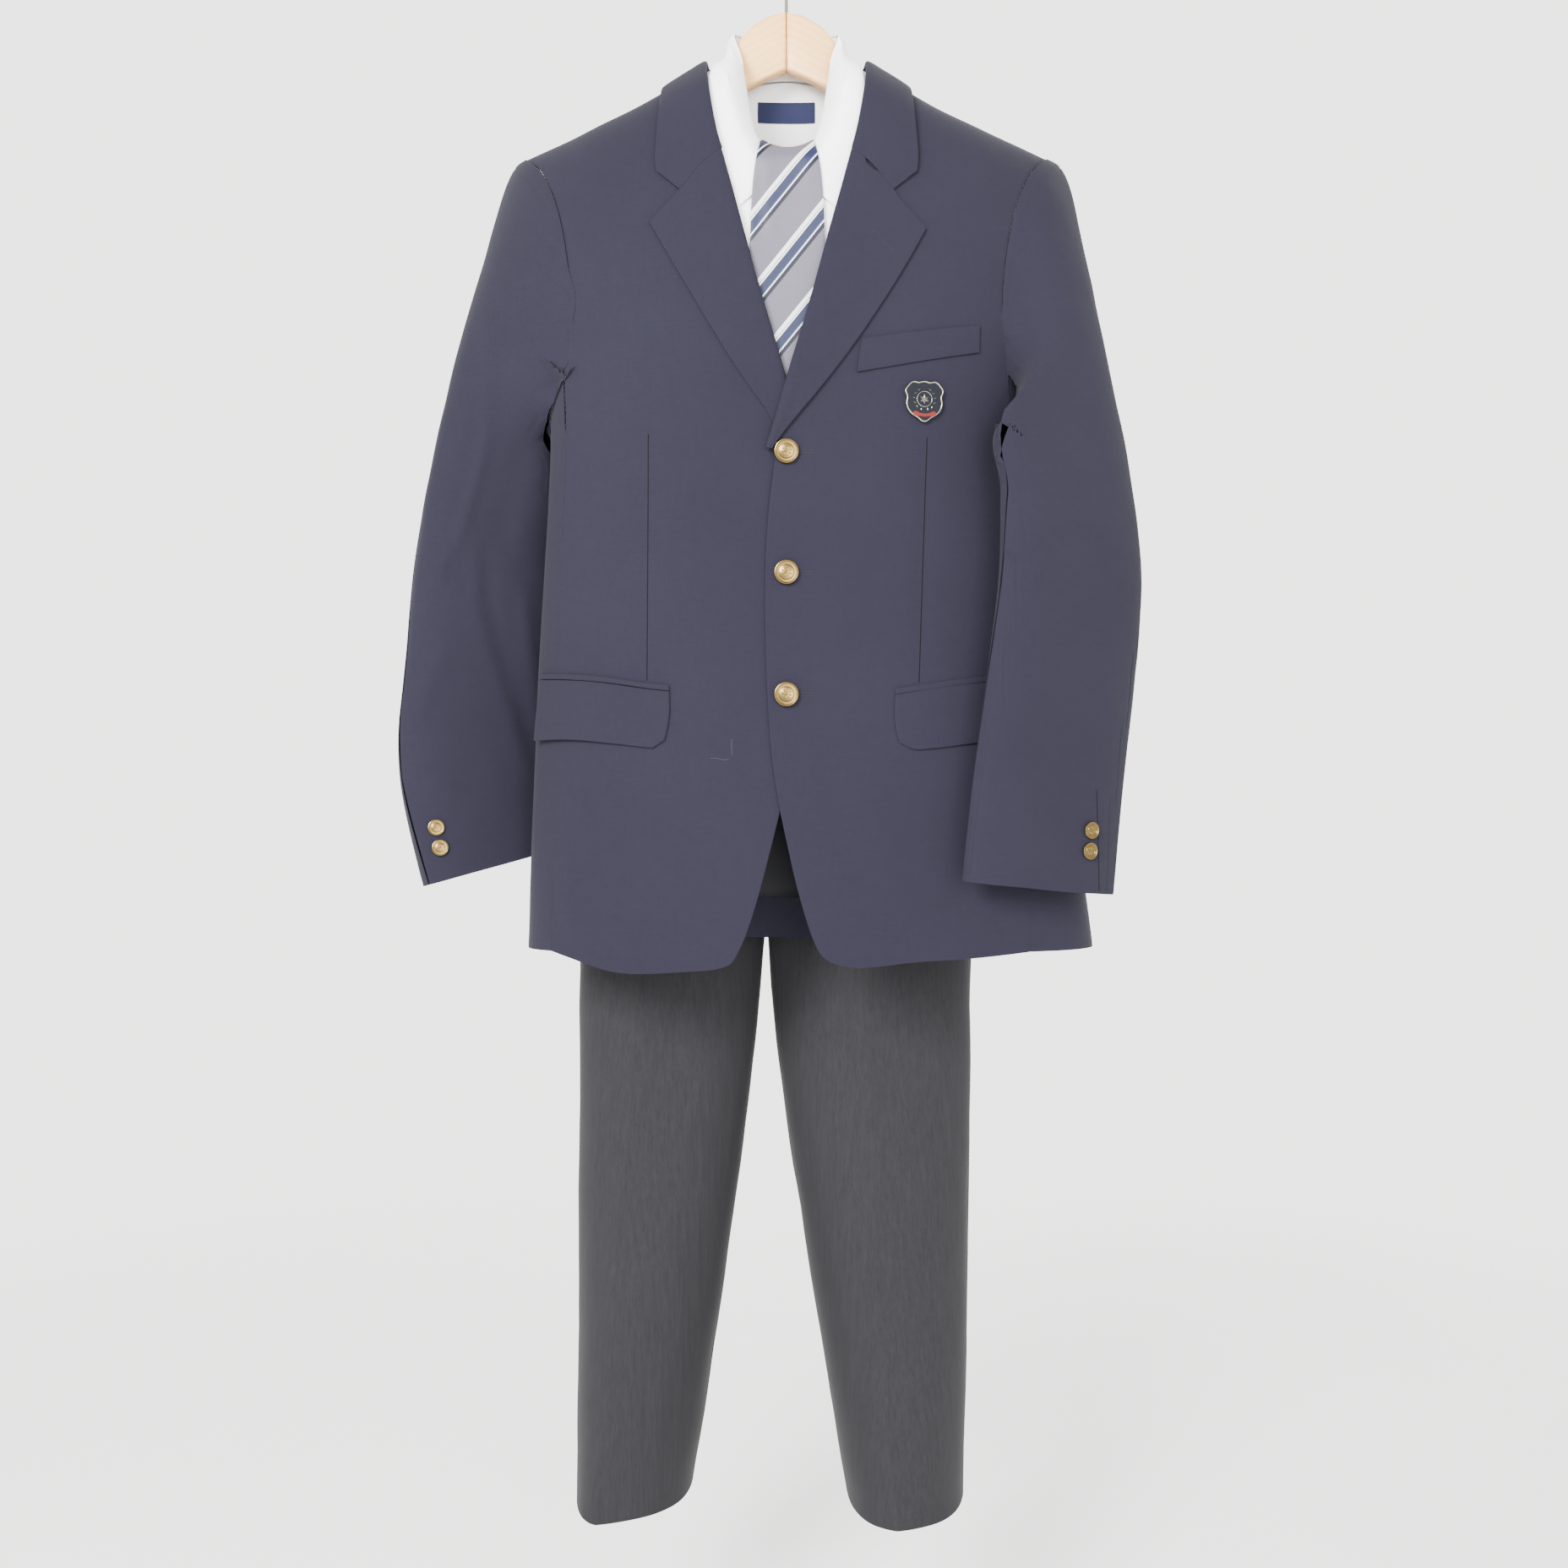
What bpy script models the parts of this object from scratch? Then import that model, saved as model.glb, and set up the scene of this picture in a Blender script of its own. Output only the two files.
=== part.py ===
"""School uniform hung as a set: blazer, shirt, striped tie and trousers on their hangers.

The origin is where the hook of the wooden hanger rests. +Z is up, the front faces -Y
and +X is the wearer's left. Tables and sizes are in millimetres, and mesh() turns them
into metres. A table for both sides gives x outwards from the centre, so x is negative
where a piece crosses the centre. "side" is +1 for the wearer's left, -1 for the right.
"""

import math

import bmesh
import bpy
import numpy as np
from mathutils import Vector

MM = 0.001
SIDES = {"left": 1, "right": -1}
SEAM = 0.4  # the gap between two pieces sewn together

WOOL = 1.6  # wall of the blazer, folded or lined cloth
SERGE = 1.4  # wall of the trousers
COTTON = 1.0
SILK = 2.0

#                colour (linear)        roughness metallic
MATERIALS = {
    "navy_wool": ((0.020, 0.022, 0.045), 0.90, 0.0),
    "lining": ((0.030, 0.032, 0.050), 0.55, 0.0),
    "charcoal_wool": ((0.050, 0.050, 0.056), 0.90, 0.0),
    "white_cotton": ((0.85, 0.86, 0.88), 0.80, 0.0),
    "striped_silk": ((0.50, 0.47, 0.54), 0.50, 0.0),
    "maple": ((0.80, 0.58, 0.33), 0.40, 0.0),
    "gilt": ((0.70, 0.58, 0.30), 0.30, 1.0),
    "chrome": ((0.60, 0.60, 0.62), 0.25, 1.0),
    "woven_label": ((0.06, 0.08, 0.26), 0.70, 0.0),
    "horn": ((0.05, 0.045, 0.04), 0.40, 0.0),
}

# ---------------------------------------------------------------- the blazer's form
# Level sections of the blazer, from the shoulders to the hem.
#    z    right x  left x  front y  back y
BODY = np.array([
    (-60, -237, 239, -80, 50),
    (-150, -236, 238, -81, 53),
    (-250, -234, 236, -83, 57),
    (-330, -225, 227, -85, 58),
    (-385, -209, 211, -86, 57),
    (-430, -204, 207, -86, 54),
    (-500, -207, 210, -86, 49),
    (-560, -211, 215, -86, 44),
    (-620, -215, 223, -87, 39),
    (-680, -218, 234, -88, 35),
    (-760, -221, 250, -89, 30),
    (-850, -224, 265, -90, 27),
    (-900, -226, 270, -90, 26),
], float)
#  distance from the centre, height of the shoulder line
SHOULDER = np.array([
    (0, -92),
    (12, -93.2),
    (35, -101),
    (55, -110.5),
    (70, -119),
    (100, -136),
    (130, -152.5),
    (160, -165.5),
    (186, -177.5),
    (210, -187),
    (229, -194),
    (260, -205),
], float)
SIDE_Y = -12  # where the front half of a section meets the back half
SHOULDER_Y = 2
FRONT_TURN, BACK_TURN = 60, 110  # how far below the shoulder line the cloth has turned down
SQUARENESS = 2.6  # exponent of the sections, 2 for an ellipse
TIP = 229  # the shoulder seam ends here
NECK = 74  # and starts here

# The front armhole, from the shoulder's tip down to the side panel; the back one mirrors it.
#   angle   x   below the shoulder line
ARMHOLE = np.array([
    (0, TIP, 0),
    (3, 228, 1.2),
    (9, 225, 5.5),
    (18, 218.5, 15),
    (32, 207, 34),
    (52, 194, 66),
    (74, 185, 108),
    (96, 180.5, 152),
    (118, 182, 185),
    (140, 189.5, 209),
], float)
UNDERARM_DIP = 24  # how far the side panel's top sinks between the two armholes
# How far up a front or back panel each of those angles lies.
ARMHOLE_ROWS = np.array([1, 0.996, 0.986, 0.967, 0.925, 0.865, 0.80, 0.74, 0.68, 0.62])
UNDERARM_ROW = ARMHOLE_ROWS[-1]
SEAM_ROWS = UNDERARM_ROW * np.array([0, 0.06, 0.28, 0.42, 0.56, 0.70, 0.85])
PANEL_ROWS = np.concatenate([SEAM_ROWS, ARMHOLE_ROWS[::-1]])


def hermite(knots, values, slopes, where):
    """A smooth curve through values at ascending knots."""
    where = np.clip(where, knots[0], knots[-1])
    i = np.clip(np.searchsorted(knots, where, side="right") - 1, 0, len(knots) - 2)
    h = knots[i + 1] - knots[i]
    u = (where - knots[i]) / h
    if values.ndim > 1:
        h, u = h[..., None], u[..., None]
    start = (2 * u**3 - 3 * u**2 + 1) * values[i] + (u**3 - 2 * u**2 + u) * h * slopes[i]
    end = (3 * u**2 - 2 * u**3) * values[i + 1] + (u**3 - u**2) * h * slopes[i + 1]
    return start + end


def curve(points, knots=None):
    """A function from 0..1, or from the given knots, to a smooth curve through the points."""
    points = np.array(points, float)
    if knots is None:
        steps = np.linalg.norm(np.diff(points, axis=0), axis=1)
        knots = np.concatenate([[0], np.cumsum(steps)]) / steps.sum()
    knots = np.array(knots, float)
    slopes = np.gradient(points, knots, axis=0)
    return lambda where: hermite(knots, points, slopes, np.asarray(where, float))


def chain(first, second, joint):
    """Two curves end to end, with a corner at the joint."""

    def at(t):
        t = np.asarray(t, float)
        low, high = first(np.clip(t / joint, 0, 1)), second(np.clip((t - joint) / (1 - joint), 0, 1))
        return np.where((t <= joint)[..., None], low, high)

    return at


def patch(left, right, bottom, top):
    """A surface patch between four boundary curves that meet at its corners."""

    def at(s, t):
        s_, t_ = s[..., None], t[..., None]
        sides = (1 - s_) * left(t) + s_ * right(t) + (1 - t_) * bottom(s) + t_ * top(s)
        low = (1 - s_) * left(0) + s_ * right(0)
        high = (1 - s_) * left(1) + s_ * right(1)
        return sides - (1 - t_) * low - t_ * high

    return at


def unit(v):
    return v / np.maximum(np.linalg.norm(v, axis=-1, keepdims=True), 1e-9)


def ease(x, start, end):
    """0 before start, 1 after end, smooth between; start may be the larger."""
    u = np.clip((x - start) / (end - start), 0, 1)
    return u * u * (3 - 2 * u)


body_at = curve(BODY[:, 1:], knots=-BODY[:, 0])
shoulder = curve(SHOULDER[:, 1], knots=SHOULDER[:, 0])
armhole_at = curve(ARMHOLE[:, 1:], knots=ARMHOLE[:, 0])


def section(z, inset):
    right, left, front, back = np.moveaxis(body_at(-z), -1, 0)
    return (left + right) / 2, (left - right) / 2 - inset, front + inset, back - inset


def form(x, z, back=False, inset=0, top=0):
    """The point of the form's front or back at x, z: inset by a wall, and its shoulders by top."""
    x, z = np.broadcast_arrays(np.asarray(x, float), np.asarray(z, float))
    middle, half, front_y, back_y = section(z, inset)
    u = np.clip(abs((x - middle) / half), 0, 1)
    reach = (back_y if back else front_y) - SIDE_Y
    y = SIDE_Y + reach * (1 - u**SQUARENESS) ** (1 / SQUARENESS)
    drop = shoulder(abs(x)) - top - z
    c = 1 - np.clip(drop / (BACK_TURN if back else FRONT_TURN), 0, 1)
    y = SHOULDER_Y + (y - SHOULDER_Y) * np.sqrt(1 - c * c)
    return np.stack([x, y, z], axis=-1)


def raised(x, z, height, back=False, inset=0, top=0):
    """The form's point at x, z, moved out along its normal."""
    e = 0.05
    base = form(x, z, back, inset, top)
    along_x = form(x + e, z, back, inset, top) - form(x - e, z, back, inset, top)
    along_z = form(x, z + e, back, inset, top) - form(x, z - e, back, inset, top)
    normal = unit(np.cross(along_x, along_z)) * (-1 if back else 1)
    return base + normal * np.asarray(height, float)[..., None]


def over(x, below, height, inset=0, top=0):
    """A point by its distance below the shoulder line, which is negative on the back."""
    z = shoulder(abs(x)) - top - abs(below)
    front = raised(x, z, height, False, inset, top)
    back = raised(x, z, height, True, inset, top)
    return np.where((below >= 0)[..., None], front, back)


def ply(x, z):
    """How far each front leaves the form where the two overlap, most at the lapels' crossing."""
    near = ease(abs(x), 75, 22)
    crossing = np.exp(-(((z + 432) / 42) ** 2))
    return near * (1.3 + 2.3 * crossing)


def front(side, x, z, height):
    """A point of a front at outward x: the left front lies over the right one."""
    point = raised(side * x, z, height)
    point[..., 1] -= side * ply(side * x, z)
    return point


# ---------------------------------------------------------------- building meshes
def material(name):
    known = bpy.data.materials.get(name)
    if known:
        return known
    colour, roughness, metallic = MATERIALS[name]
    made = bpy.data.materials.new(name)
    made.use_nodes = True
    shader = made.node_tree.nodes["Principled BSDF"]
    shader.inputs["Base Color"].default_value = (*colour, 1)
    shader.inputs["Roughness"].default_value = roughness
    shader.inputs["Metallic"].default_value = metallic
    made.diffuse_color = (*colour, 1)
    return made


def add(name, mesh_data, looks, smooth=True):
    mesh_data.materials.append(material(looks))
    piece = bpy.data.objects.new(name, mesh_data)
    bpy.context.scene.collection.objects.link(piece)
    if smooth:
        mesh_data.shade_smooth()
        mesh_data.set_sharp_from_angle(angle=math.radians(40))
    return piece


def mesh(name, points, faces, looks, smooth=True):
    made = bpy.data.meshes.new(name)
    made.from_pydata((np.asarray(points) * MM).tolist(), [], [tuple(map(int, f)) for f in faces])
    made.validate()
    return add(name, made, looks, smooth)


def normals(surface, s, t, past_edges):
    e = 1e-4
    s0, s1 = (s - e, s + e) if past_edges else (np.clip(s - e, 0, 1), np.clip(s + e, 0, 1))
    t0, t1 = np.clip(t - e, 0, 1), np.clip(t + e, 0, 1)
    return unit(np.cross(surface(s1, t) - surface(s0, t), surface(s, t1) - surface(s, t0)))


def sheet(name, surface, across, along, wall, looks, flip=False, closed=False, past_edges=False, gap=SEAM):
    """Cloth: surface(s, t) is its outer face, and its wall goes in from there.

    closed joins the last column to the first, as in a tube. past_edges says that the
    surface goes on past its side edges, so that a wall there leans as its neighbour's
    does. Each free edge is drawn in by half the gap, so that two pieces cut along one
    curve don't touch.
    """
    pull = gap / 2
    s, t = np.meshgrid(np.asarray(across, float), np.asarray(along, float), indexing="ij")
    outer = surface(s, t)
    inward = normals(surface, s, t, closed or past_edges) * (wall if flip else -wall)
    drawn = np.zeros_like(outer)
    ends = [((slice(None), 0), (slice(None), 1)), ((slice(None), -1), (slice(None), -2))]
    if not closed:
        ends += [((0,), (1,)), ((-1,), (-2,))]
    for edge, neighbour in ends:
        across_edge = np.cross(np.gradient(outer[edge], axis=0), inward[edge])
        towards = np.sign((across_edge * (outer[neighbour] - outer[edge])).sum(axis=-1, keepdims=True))
        drawn[edge] += unit(across_edge) * towards * pull
    outer += drawn
    columns, rows = s.shape
    index = np.arange(columns * rows).reshape(columns, rows)
    wrap = np.append(index, index[:1], axis=0) if closed else index
    a, b, c, d = (i.ravel() for i in (wrap[:-1, :-1], wrap[1:, :-1], wrap[1:, 1:], wrap[:-1, 1:]))
    flat = outer.reshape(-1, 3)
    ac, bd = np.linalg.norm(flat[a] - flat[c], axis=1), np.linalg.norm(flat[b] - flat[d], axis=1)
    # both faces of the wall are cut along the same diagonals, so that it is as thick all over
    face = np.where((ac <= bd)[:, None, None], np.stack([[a, b, c], [a, c, d]]).T, np.stack([[a, b, d], [b, c, d]]).T)
    face = face.transpose(0, 2, 1).reshape(-1, 3)
    back = columns * rows
    rims = [(wrap[:, 0], 1), (wrap[:, -1], -1)]
    if not closed:
        rims += [(index[0], -1), (index[-1], 1)]
    faces = [*face, *(face[:, ::-1] + back)]
    for edge, turn in rims:
        rim = np.stack([edge[:-1], edge[:-1] + back, edge[1:] + back, edge[1:]], axis=-1)
        faces.extend(rim if turn > 0 else rim[:, ::-1])
    if flip:
        faces = [loop[::-1] for loop in faces]
    points = np.concatenate([outer.reshape(-1, 3), (outer + inward).reshape(-1, 3)])
    return mesh(name, points, faces, looks)


def wire(name, route, thickness, looks, sides=6):
    """A round wire along the route, with flat ends."""
    route = np.array(route, float)
    ways = unit(np.gradient(route, axis=0))
    up = unit(np.cross(ways[0], (0.3, 1.0, 0.2)))
    rings = []
    for place, way in zip(route, ways):
        up = unit(up - way * (up * way).sum())
        side = np.cross(way, up)
        turns = np.arange(sides)[:, None] * (math.tau / sides)
        rings.append(place + (up * np.cos(turns) + side * np.sin(turns)) * thickness / 2)
    index = np.arange(len(route) * sides).reshape(-1, sides)
    ahead = np.roll(index, -1, axis=1)
    walls = np.stack([index[:-1], ahead[:-1], ahead[1:], index[1:]], axis=-1).reshape(-1, 4)
    return mesh(name, np.concatenate(rings), [*walls, index[0][::-1], index[-1]], looks)


def plate(name, outline, y, thickness, looks, bevel=0, place=None, turn=None):
    """A flat outline of (x, z) points, run from y to y + thickness, with rounded edges."""
    bm = bmesh.new()
    face = bm.faces.new([bm.verts.new((x * MM, y * MM, z * MM)) for x, z in outline])
    bm.normal_update()
    if face.normal.y > 0:
        face.normal_flip()
    far = bmesh.ops.extrude_face_region(bm, geom=[face])
    moved = [v for v in far["geom"] if isinstance(v, bmesh.types.BMVert)]
    bmesh.ops.translate(bm, verts=moved, vec=(0, thickness * MM, 0))
    bmesh.ops.recalc_face_normals(bm, faces=bm.faces)
    if bevel:
        rims = [e for e in bm.edges if abs(e.verts[0].co.y - e.verts[1].co.y) < 1e-6]
        bmesh.ops.bevel(bm, geom=rims, offset=bevel * MM, segments=2, affect="EDGES", profile=0.5)
    made = bpy.data.meshes.new(name)
    bm.to_mesh(made)
    bm.free()
    piece = add(name, made, looks)
    if place is not None:
        piece.location = np.array(place) * MM
        piece.rotation_euler = turn
    return piece


def turned(name, profile, steps, place, facing, looks):
    """A round piece: profile rows are radius and height along the facing direction."""
    bm = bmesh.new()
    rows = [bm.verts.new((r * MM, 0, h * MM)) for r, h in profile]
    edges = [bm.edges.new(pair) for pair in zip(rows, rows[1:])]
    bmesh.ops.spin(
        bm, geom=rows + edges, cent=(0, 0, 0), axis=(0, 0, 1), angle=math.tau, steps=steps, use_duplicate=False
    )
    bmesh.ops.remove_doubles(bm, verts=bm.verts, dist=1e-6)
    bmesh.ops.recalc_face_normals(bm, faces=bm.faces)
    made = bpy.data.meshes.new(name)
    bm.to_mesh(made)
    bm.free()
    piece = add(name, made, looks)
    piece.location = np.array(place) * MM
    piece.rotation_euler = Vector(facing).to_track_quat("Z", "Y").to_euler()
    return piece


# ---------------------------------------------------------------- blazer: body
# Front edge and rounded bottom corner, from the hem up to where the lapel turns.
FRONT_EDGE = {
    "left": [(27, -881), (16, -857), (6, -827), (-1, -797), (-8, -764), (-13, -716), (-17, -659),
             (-18, -564), (-18.5, -507), (-19, -473)],
    "right": [(44, -888), (36, -877), (31, -864), (24, -838), (18, -819), (13, -794), (7, -772),
              (-2, -736), (-10, -690), (-16, -640), (-18, -564), (-18, -473)],
}
HEM = {
    "left": [(27, -881), (40, -889.5), (60, -892.5), (98, -888), (151, -885), (204, -880)],
    "right": [(44, -888), (55, -893), (82, -895), (119, -898), (139, -898), (155, -895),
              (174, -888), (199, -881)],
}
SIDE_SEAM = {
    "left": [(204, -880), (199, -700), (193, -550), (188.5, -450), (189.5, -388)],
    "right": [(199, -881), (196, -700), (191, -550), (187.5, -450), (189.5, -388)],
}
# The roll line, where the lapel turns back, from the break up to the gorge seam.
ROLL = [(-18.5, -467), (-10, -439), (-1, -406), (19, -338), (31, -295), (41, -259), (53.5, -213)]
TUCK = 8  # the front ends this far behind the roll line, under the lapel
# The collar, from the gorge seam to the centre back.
#   neck seam x, below | fold x, below, rise | outer edge x, below
COLLAR = np.array([
    (60.0, 98, 53.5, 102, 0, 88.5, 117),
    (63.5, 84, 57, 88, 0, 108, 90),
    (66.5, 70, 60, 73, 0, 109.5, 78),
    (69.5, 52, 63, 55, 0, 107.5, 60),
    (72, 30, 65.5, 33, 0, 105.5, 40),
    (73.6, 9, 67.5, 10, 2, 104.5, 18),
    (73.9, 2.5, 67.9, 3, 4.5, 103.3, 7),
    (NECK, 0, 68, 0.5, 7, 102, 1),
    (72.8, -2.5, 67.2, -2, 10, 100.5, -3.5),
    (70, -8, 65, -6, 14, 97, -10),
    (54, -18, 50, -16, 24, 82, -25),
    (30, -32, 28, -28, 34, 46, -44),
    (0, -40, 0, -36, 40, 0, -58),
], float)
NECK_ROW = 7  # the row at the shoulder seam


def below_to_z(x, below):
    return shoulder(abs(x)) - abs(below)


def inner_edge(side_name):
    """A front's edge: up from the hem to the break, then behind the roll line to the neck."""
    neck = [(x, below_to_z(x, q)) for x, q in COLLAR[:NECK_ROW + 1, :2]]
    tucked = [(x + TUCK, z + 2) for x, z in ROLL[1:-1]]
    rise = curve([(ROLL[0][0] + TUCK, ROLL[0][1] + 8), *tucked, *neck])
    return chain(curve(FRONT_EDGE[side_name]), rise, 0.52)


def armhole_edge(seam):
    """The outer edge of a front or back panel: side seam, then armhole up to the tip."""
    seam_at = curve(seam)

    def at(t):
        t = np.asarray(t, float)
        angle = np.interp(t, ARMHOLE_ROWS[::-1], ARMHOLE[::-1, 0])
        x, below = np.moveaxis(armhole_at(angle), -1, 0)
        arm = np.stack([x, shoulder(x) - below], axis=-1)
        return np.where((t <= UNDERARM_ROW)[..., None], seam_at(np.clip(t / UNDERARM_ROW, 0, 1)), arm)

    return at


def shoulder_seam(start, end):
    def at(s):
        x = start + (end - start) * np.asarray(s, float)
        return np.stack([x, shoulder(x)], axis=-1)

    return at


def front_panel(side_name):
    side = SIDES[side_name]
    flat = patch(
        inner_edge(side_name), armhole_edge(SIDE_SEAM[side_name]), curve(HEM[side_name]), shoulder_seam(NECK, TIP)
    )

    def surface(s, t):
        x, z = np.moveaxis(flat(s, t), -1, 0)
        return front(side, x, z, 0)

    across = [0, 0.03, 0.10, 0.20, 0.32, 0.44, 0.56, 0.68, 0.80, 0.91, 1]
    sheet(f"jacket_front_{side_name}", surface, across, PANEL_ROWS, WOOL, "navy_wool", flip=side < 0)


LAP_TOP, VENT_TOP, VENT_LAP = -722, -665, 34  # the vent's lap narrows from its top up to the seam
VENT_STEP = 1.3  # each back leaves the form by this at the lap
BACK_HEM = -877


def back_panel(side_name):
    """The right back reaches past the centre seam below the vent's top, under the left one."""
    side = SIDES[side_name]
    neck_z = below_to_z(0, COLLAR[-1, 1])
    if side > 0:
        centre = curve([(0.0, BACK_HEM), (0.0, VENT_TOP), (0.0, neck_z)])
    else:
        lap = curve([(-VENT_LAP, BACK_HEM), (-VENT_LAP, LAP_TOP)])
        centre = chain(lap, curve([(0.0, LAP_TOP), (0.0, neck_z)]), SEAM_ROWS[2])
    seam = SIDE_SEAM[side_name]
    hem = curve([centre(0), (100, BACK_HEM), seam[0]])
    neck = curve([(x, below_to_z(x, q)) for x, q in COLLAR[:NECK_ROW - 1:-1, :2]])
    top = chain(neck, shoulder_seam(NECK, TIP), 0.42)
    flat = patch(centre, armhole_edge(seam), hem, top)

    def surface(s, t):
        x, z = np.moveaxis(flat(s, t), -1, 0)
        point = raised(side * x, z, 0 * x, back=True)
        point[..., 1] += side * VENT_STEP * ease(x, 75, 40) * ease(z, VENT_TOP + 70, VENT_TOP + 15)
        return point

    across = [0, 0.12, 0.24, 0.34, 0.39, 0.42, 0.54, 0.68, 0.84, 1]
    sheet(f"jacket_back_{side_name}", surface, across, PANEL_ROWS, WOOL, "navy_wool", flip=side > 0)


def side_surface(side_name):
    """The side panel, from the front seam (s = 0) round to the back seam (s = 1)."""
    side = SIDES[side_name]
    seam_at = curve(SIDE_SEAM[side_name])

    def surface(s, t):
        x, z = np.moveaxis(seam_at(t), -1, 0)
        middle, half, front_y, back_y = section(z, 0)
        u = np.clip(abs((side * x - middle) / half), 0, 1)
        edge = np.arccos(u ** (SQUARENESS / 2))
        turn = edge * (1 - 2 * s)
        z = z - UNDERARM_DIP * 4 * s * (1 - s) * t**6
        middle, half, front_y, back_y = section(z, 0)
        reach = np.where(turn > 0, front_y, back_y) - SIDE_Y
        x = middle + side * half * np.cos(turn) ** (2 / SQUARENESS)
        y = SIDE_Y + reach * abs(np.sin(turn)) ** (2 / SQUARENESS)
        return np.stack([x, y, z], axis=-1)

    return surface


SIDE_COLUMNS = [0, 0.17, 0.34, 0.5, 0.66, 0.83, 1]


def side_panel(side_name):
    rows = np.append(SEAM_ROWS / UNDERARM_ROW, 1)
    flip = SIDES[side_name] < 0
    surface = side_surface(side_name)
    sheet(f"jacket_side_{side_name}", surface, SIDE_COLUMNS, rows, WOOL, "navy_wool", flip=flip)


LINING_TOP, LINING_LOW, LINING_HALF = -560, -841, 176


def back_lining():
    """The lining inside the back, seen through the parted fronts, above the turned-up hem."""
    inset = WOOL + VENT_STEP + 0.5

    def surface(s, t):
        z = LINING_TOP + (LINING_LOW - LINING_TOP) * t
        x = LINING_HALF * (2 * s - 1)
        return form(x, z, back=True, inset=inset)

    sheet("jacket_back_lining", surface, np.linspace(0, 1, 9), np.linspace(0, 1, 5), COTTON, "lining")


# ---------------------------------------------------------------- blazer: lapels, collar
# Outer edge of each lapel, from the break up past the tip to the notch.
LAPEL_EDGE = {
    "left": ([(-12, -463), (6, -438), (31, -410), (54, -379), (69, -357), (94, -318), (116, -278)], (89.5, -249.5)),
    "right": ([(6, -455), (10, -439), (29, -413), (50, -382), (71, -346), (92, -311), (114, -273)], (88, -246)),
}
LAPEL_START = {"left": 0.02, "right": 0.13}  # the right lapel's lowest stretch lies under the left front
TIP_WALL = 0.6  # share of the wall that is left at a lapel's lowest, narrowest place
# Across a lapel: millimetres from the roll line, share of the rest, height above the front.
ROLL_SECTION = np.array([
    (TUCK - 2.5, 0, -WOOL),
    (2.0, 0, -WOOL),
    (0.2, 0, -0.3),
    (0.2, 0, 1.5),
    (1.6, 0, 3.2),
    (5.0, 0, 3.9),
    (9.0, 0, 3.9),
    (9.0, 0.35, 3.5),
    (9.0, 0.7, 3.1),
    (9.0, 1, 2.9),
], float)
ROLL_KNOTS = np.array([0, 0.10, 0.18, 0.24, 0.31, 0.39, 0.46, 0.66, 0.84, 1])
ROLL_WIDTH = ROLL_SECTION[-1, 0]


def lapel(side_name):
    side = SIDES[side_name]
    edge, notch = LAPEL_EDGE[side_name]
    outer = chain(curve(edge), curve([edge[-1], notch]), 0.86)
    roll = curve(ROLL)
    start = LAPEL_START[side_name]
    across_at = curve(ROLL_SECTION, knots=ROLL_KNOTS)

    def surface(s, t):
        fold, edge_point = roll(start + (1 - start) * s), outer(s)
        width = np.linalg.norm(edge_point - fold, axis=-1)
        away = unit(edge_point - fold)
        near, share, height = np.moveaxis(across_at(t), -1, 0)
        scale = np.minimum(1, width / (2 * ROLL_WIDTH))
        reach = near * scale + share * (width - ROLL_WIDTH * scale)
        x, z = np.moveaxis(fold + away * reach[..., None], -1, 0)
        return front(side, x, z, height)

    rows = [0, 0.08, 0.22, 0.38, 0.54, 0.70, 0.80, 0.86, 0.92, 1]
    wall = np.full((len(rows), 1, 1), WOOL)
    wall[0] *= TIP_WALL
    sheet(f"jacket_lapel_{side_name}", surface, rows, ROLL_KNOTS, wall, "navy_wool", flip=side > 0)


def mirrored(table, flipped):
    """A table from the centre front to the centre back, carried on round the other side."""
    other = table[-2::-1].copy()
    other[:, flipped] *= -1
    return np.concatenate([table, other])


def spans(places, stops, t):
    """The point at t on a smooth line through stops, whose places go from 0 to 1."""
    slopes = np.gradient(stops, places, axis=0)
    result = stops[0]
    for i, h in enumerate(np.diff(places)):
        u = np.clip((t - places[i]) / h, 0, 1)[..., None]
        start = (2 * u**3 - 3 * u**2 + 1) * stops[i] + (u**3 - 2 * u**2 + u) * h * slopes[i]
        end = (3 * u**2 - 2 * u**3) * stops[i + 1] + (u**3 - u**2) * h * slopes[i + 1]
        result = np.where((t > places[i])[..., None], start + end, result)
    return result


COLLAR_FOLD = 2.8  # half the fold's depth
COLLAR_PLACES = np.array([0, 0.22, 0.36, 0.45, 0.54, 0.70, 0.86, 1])


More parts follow.
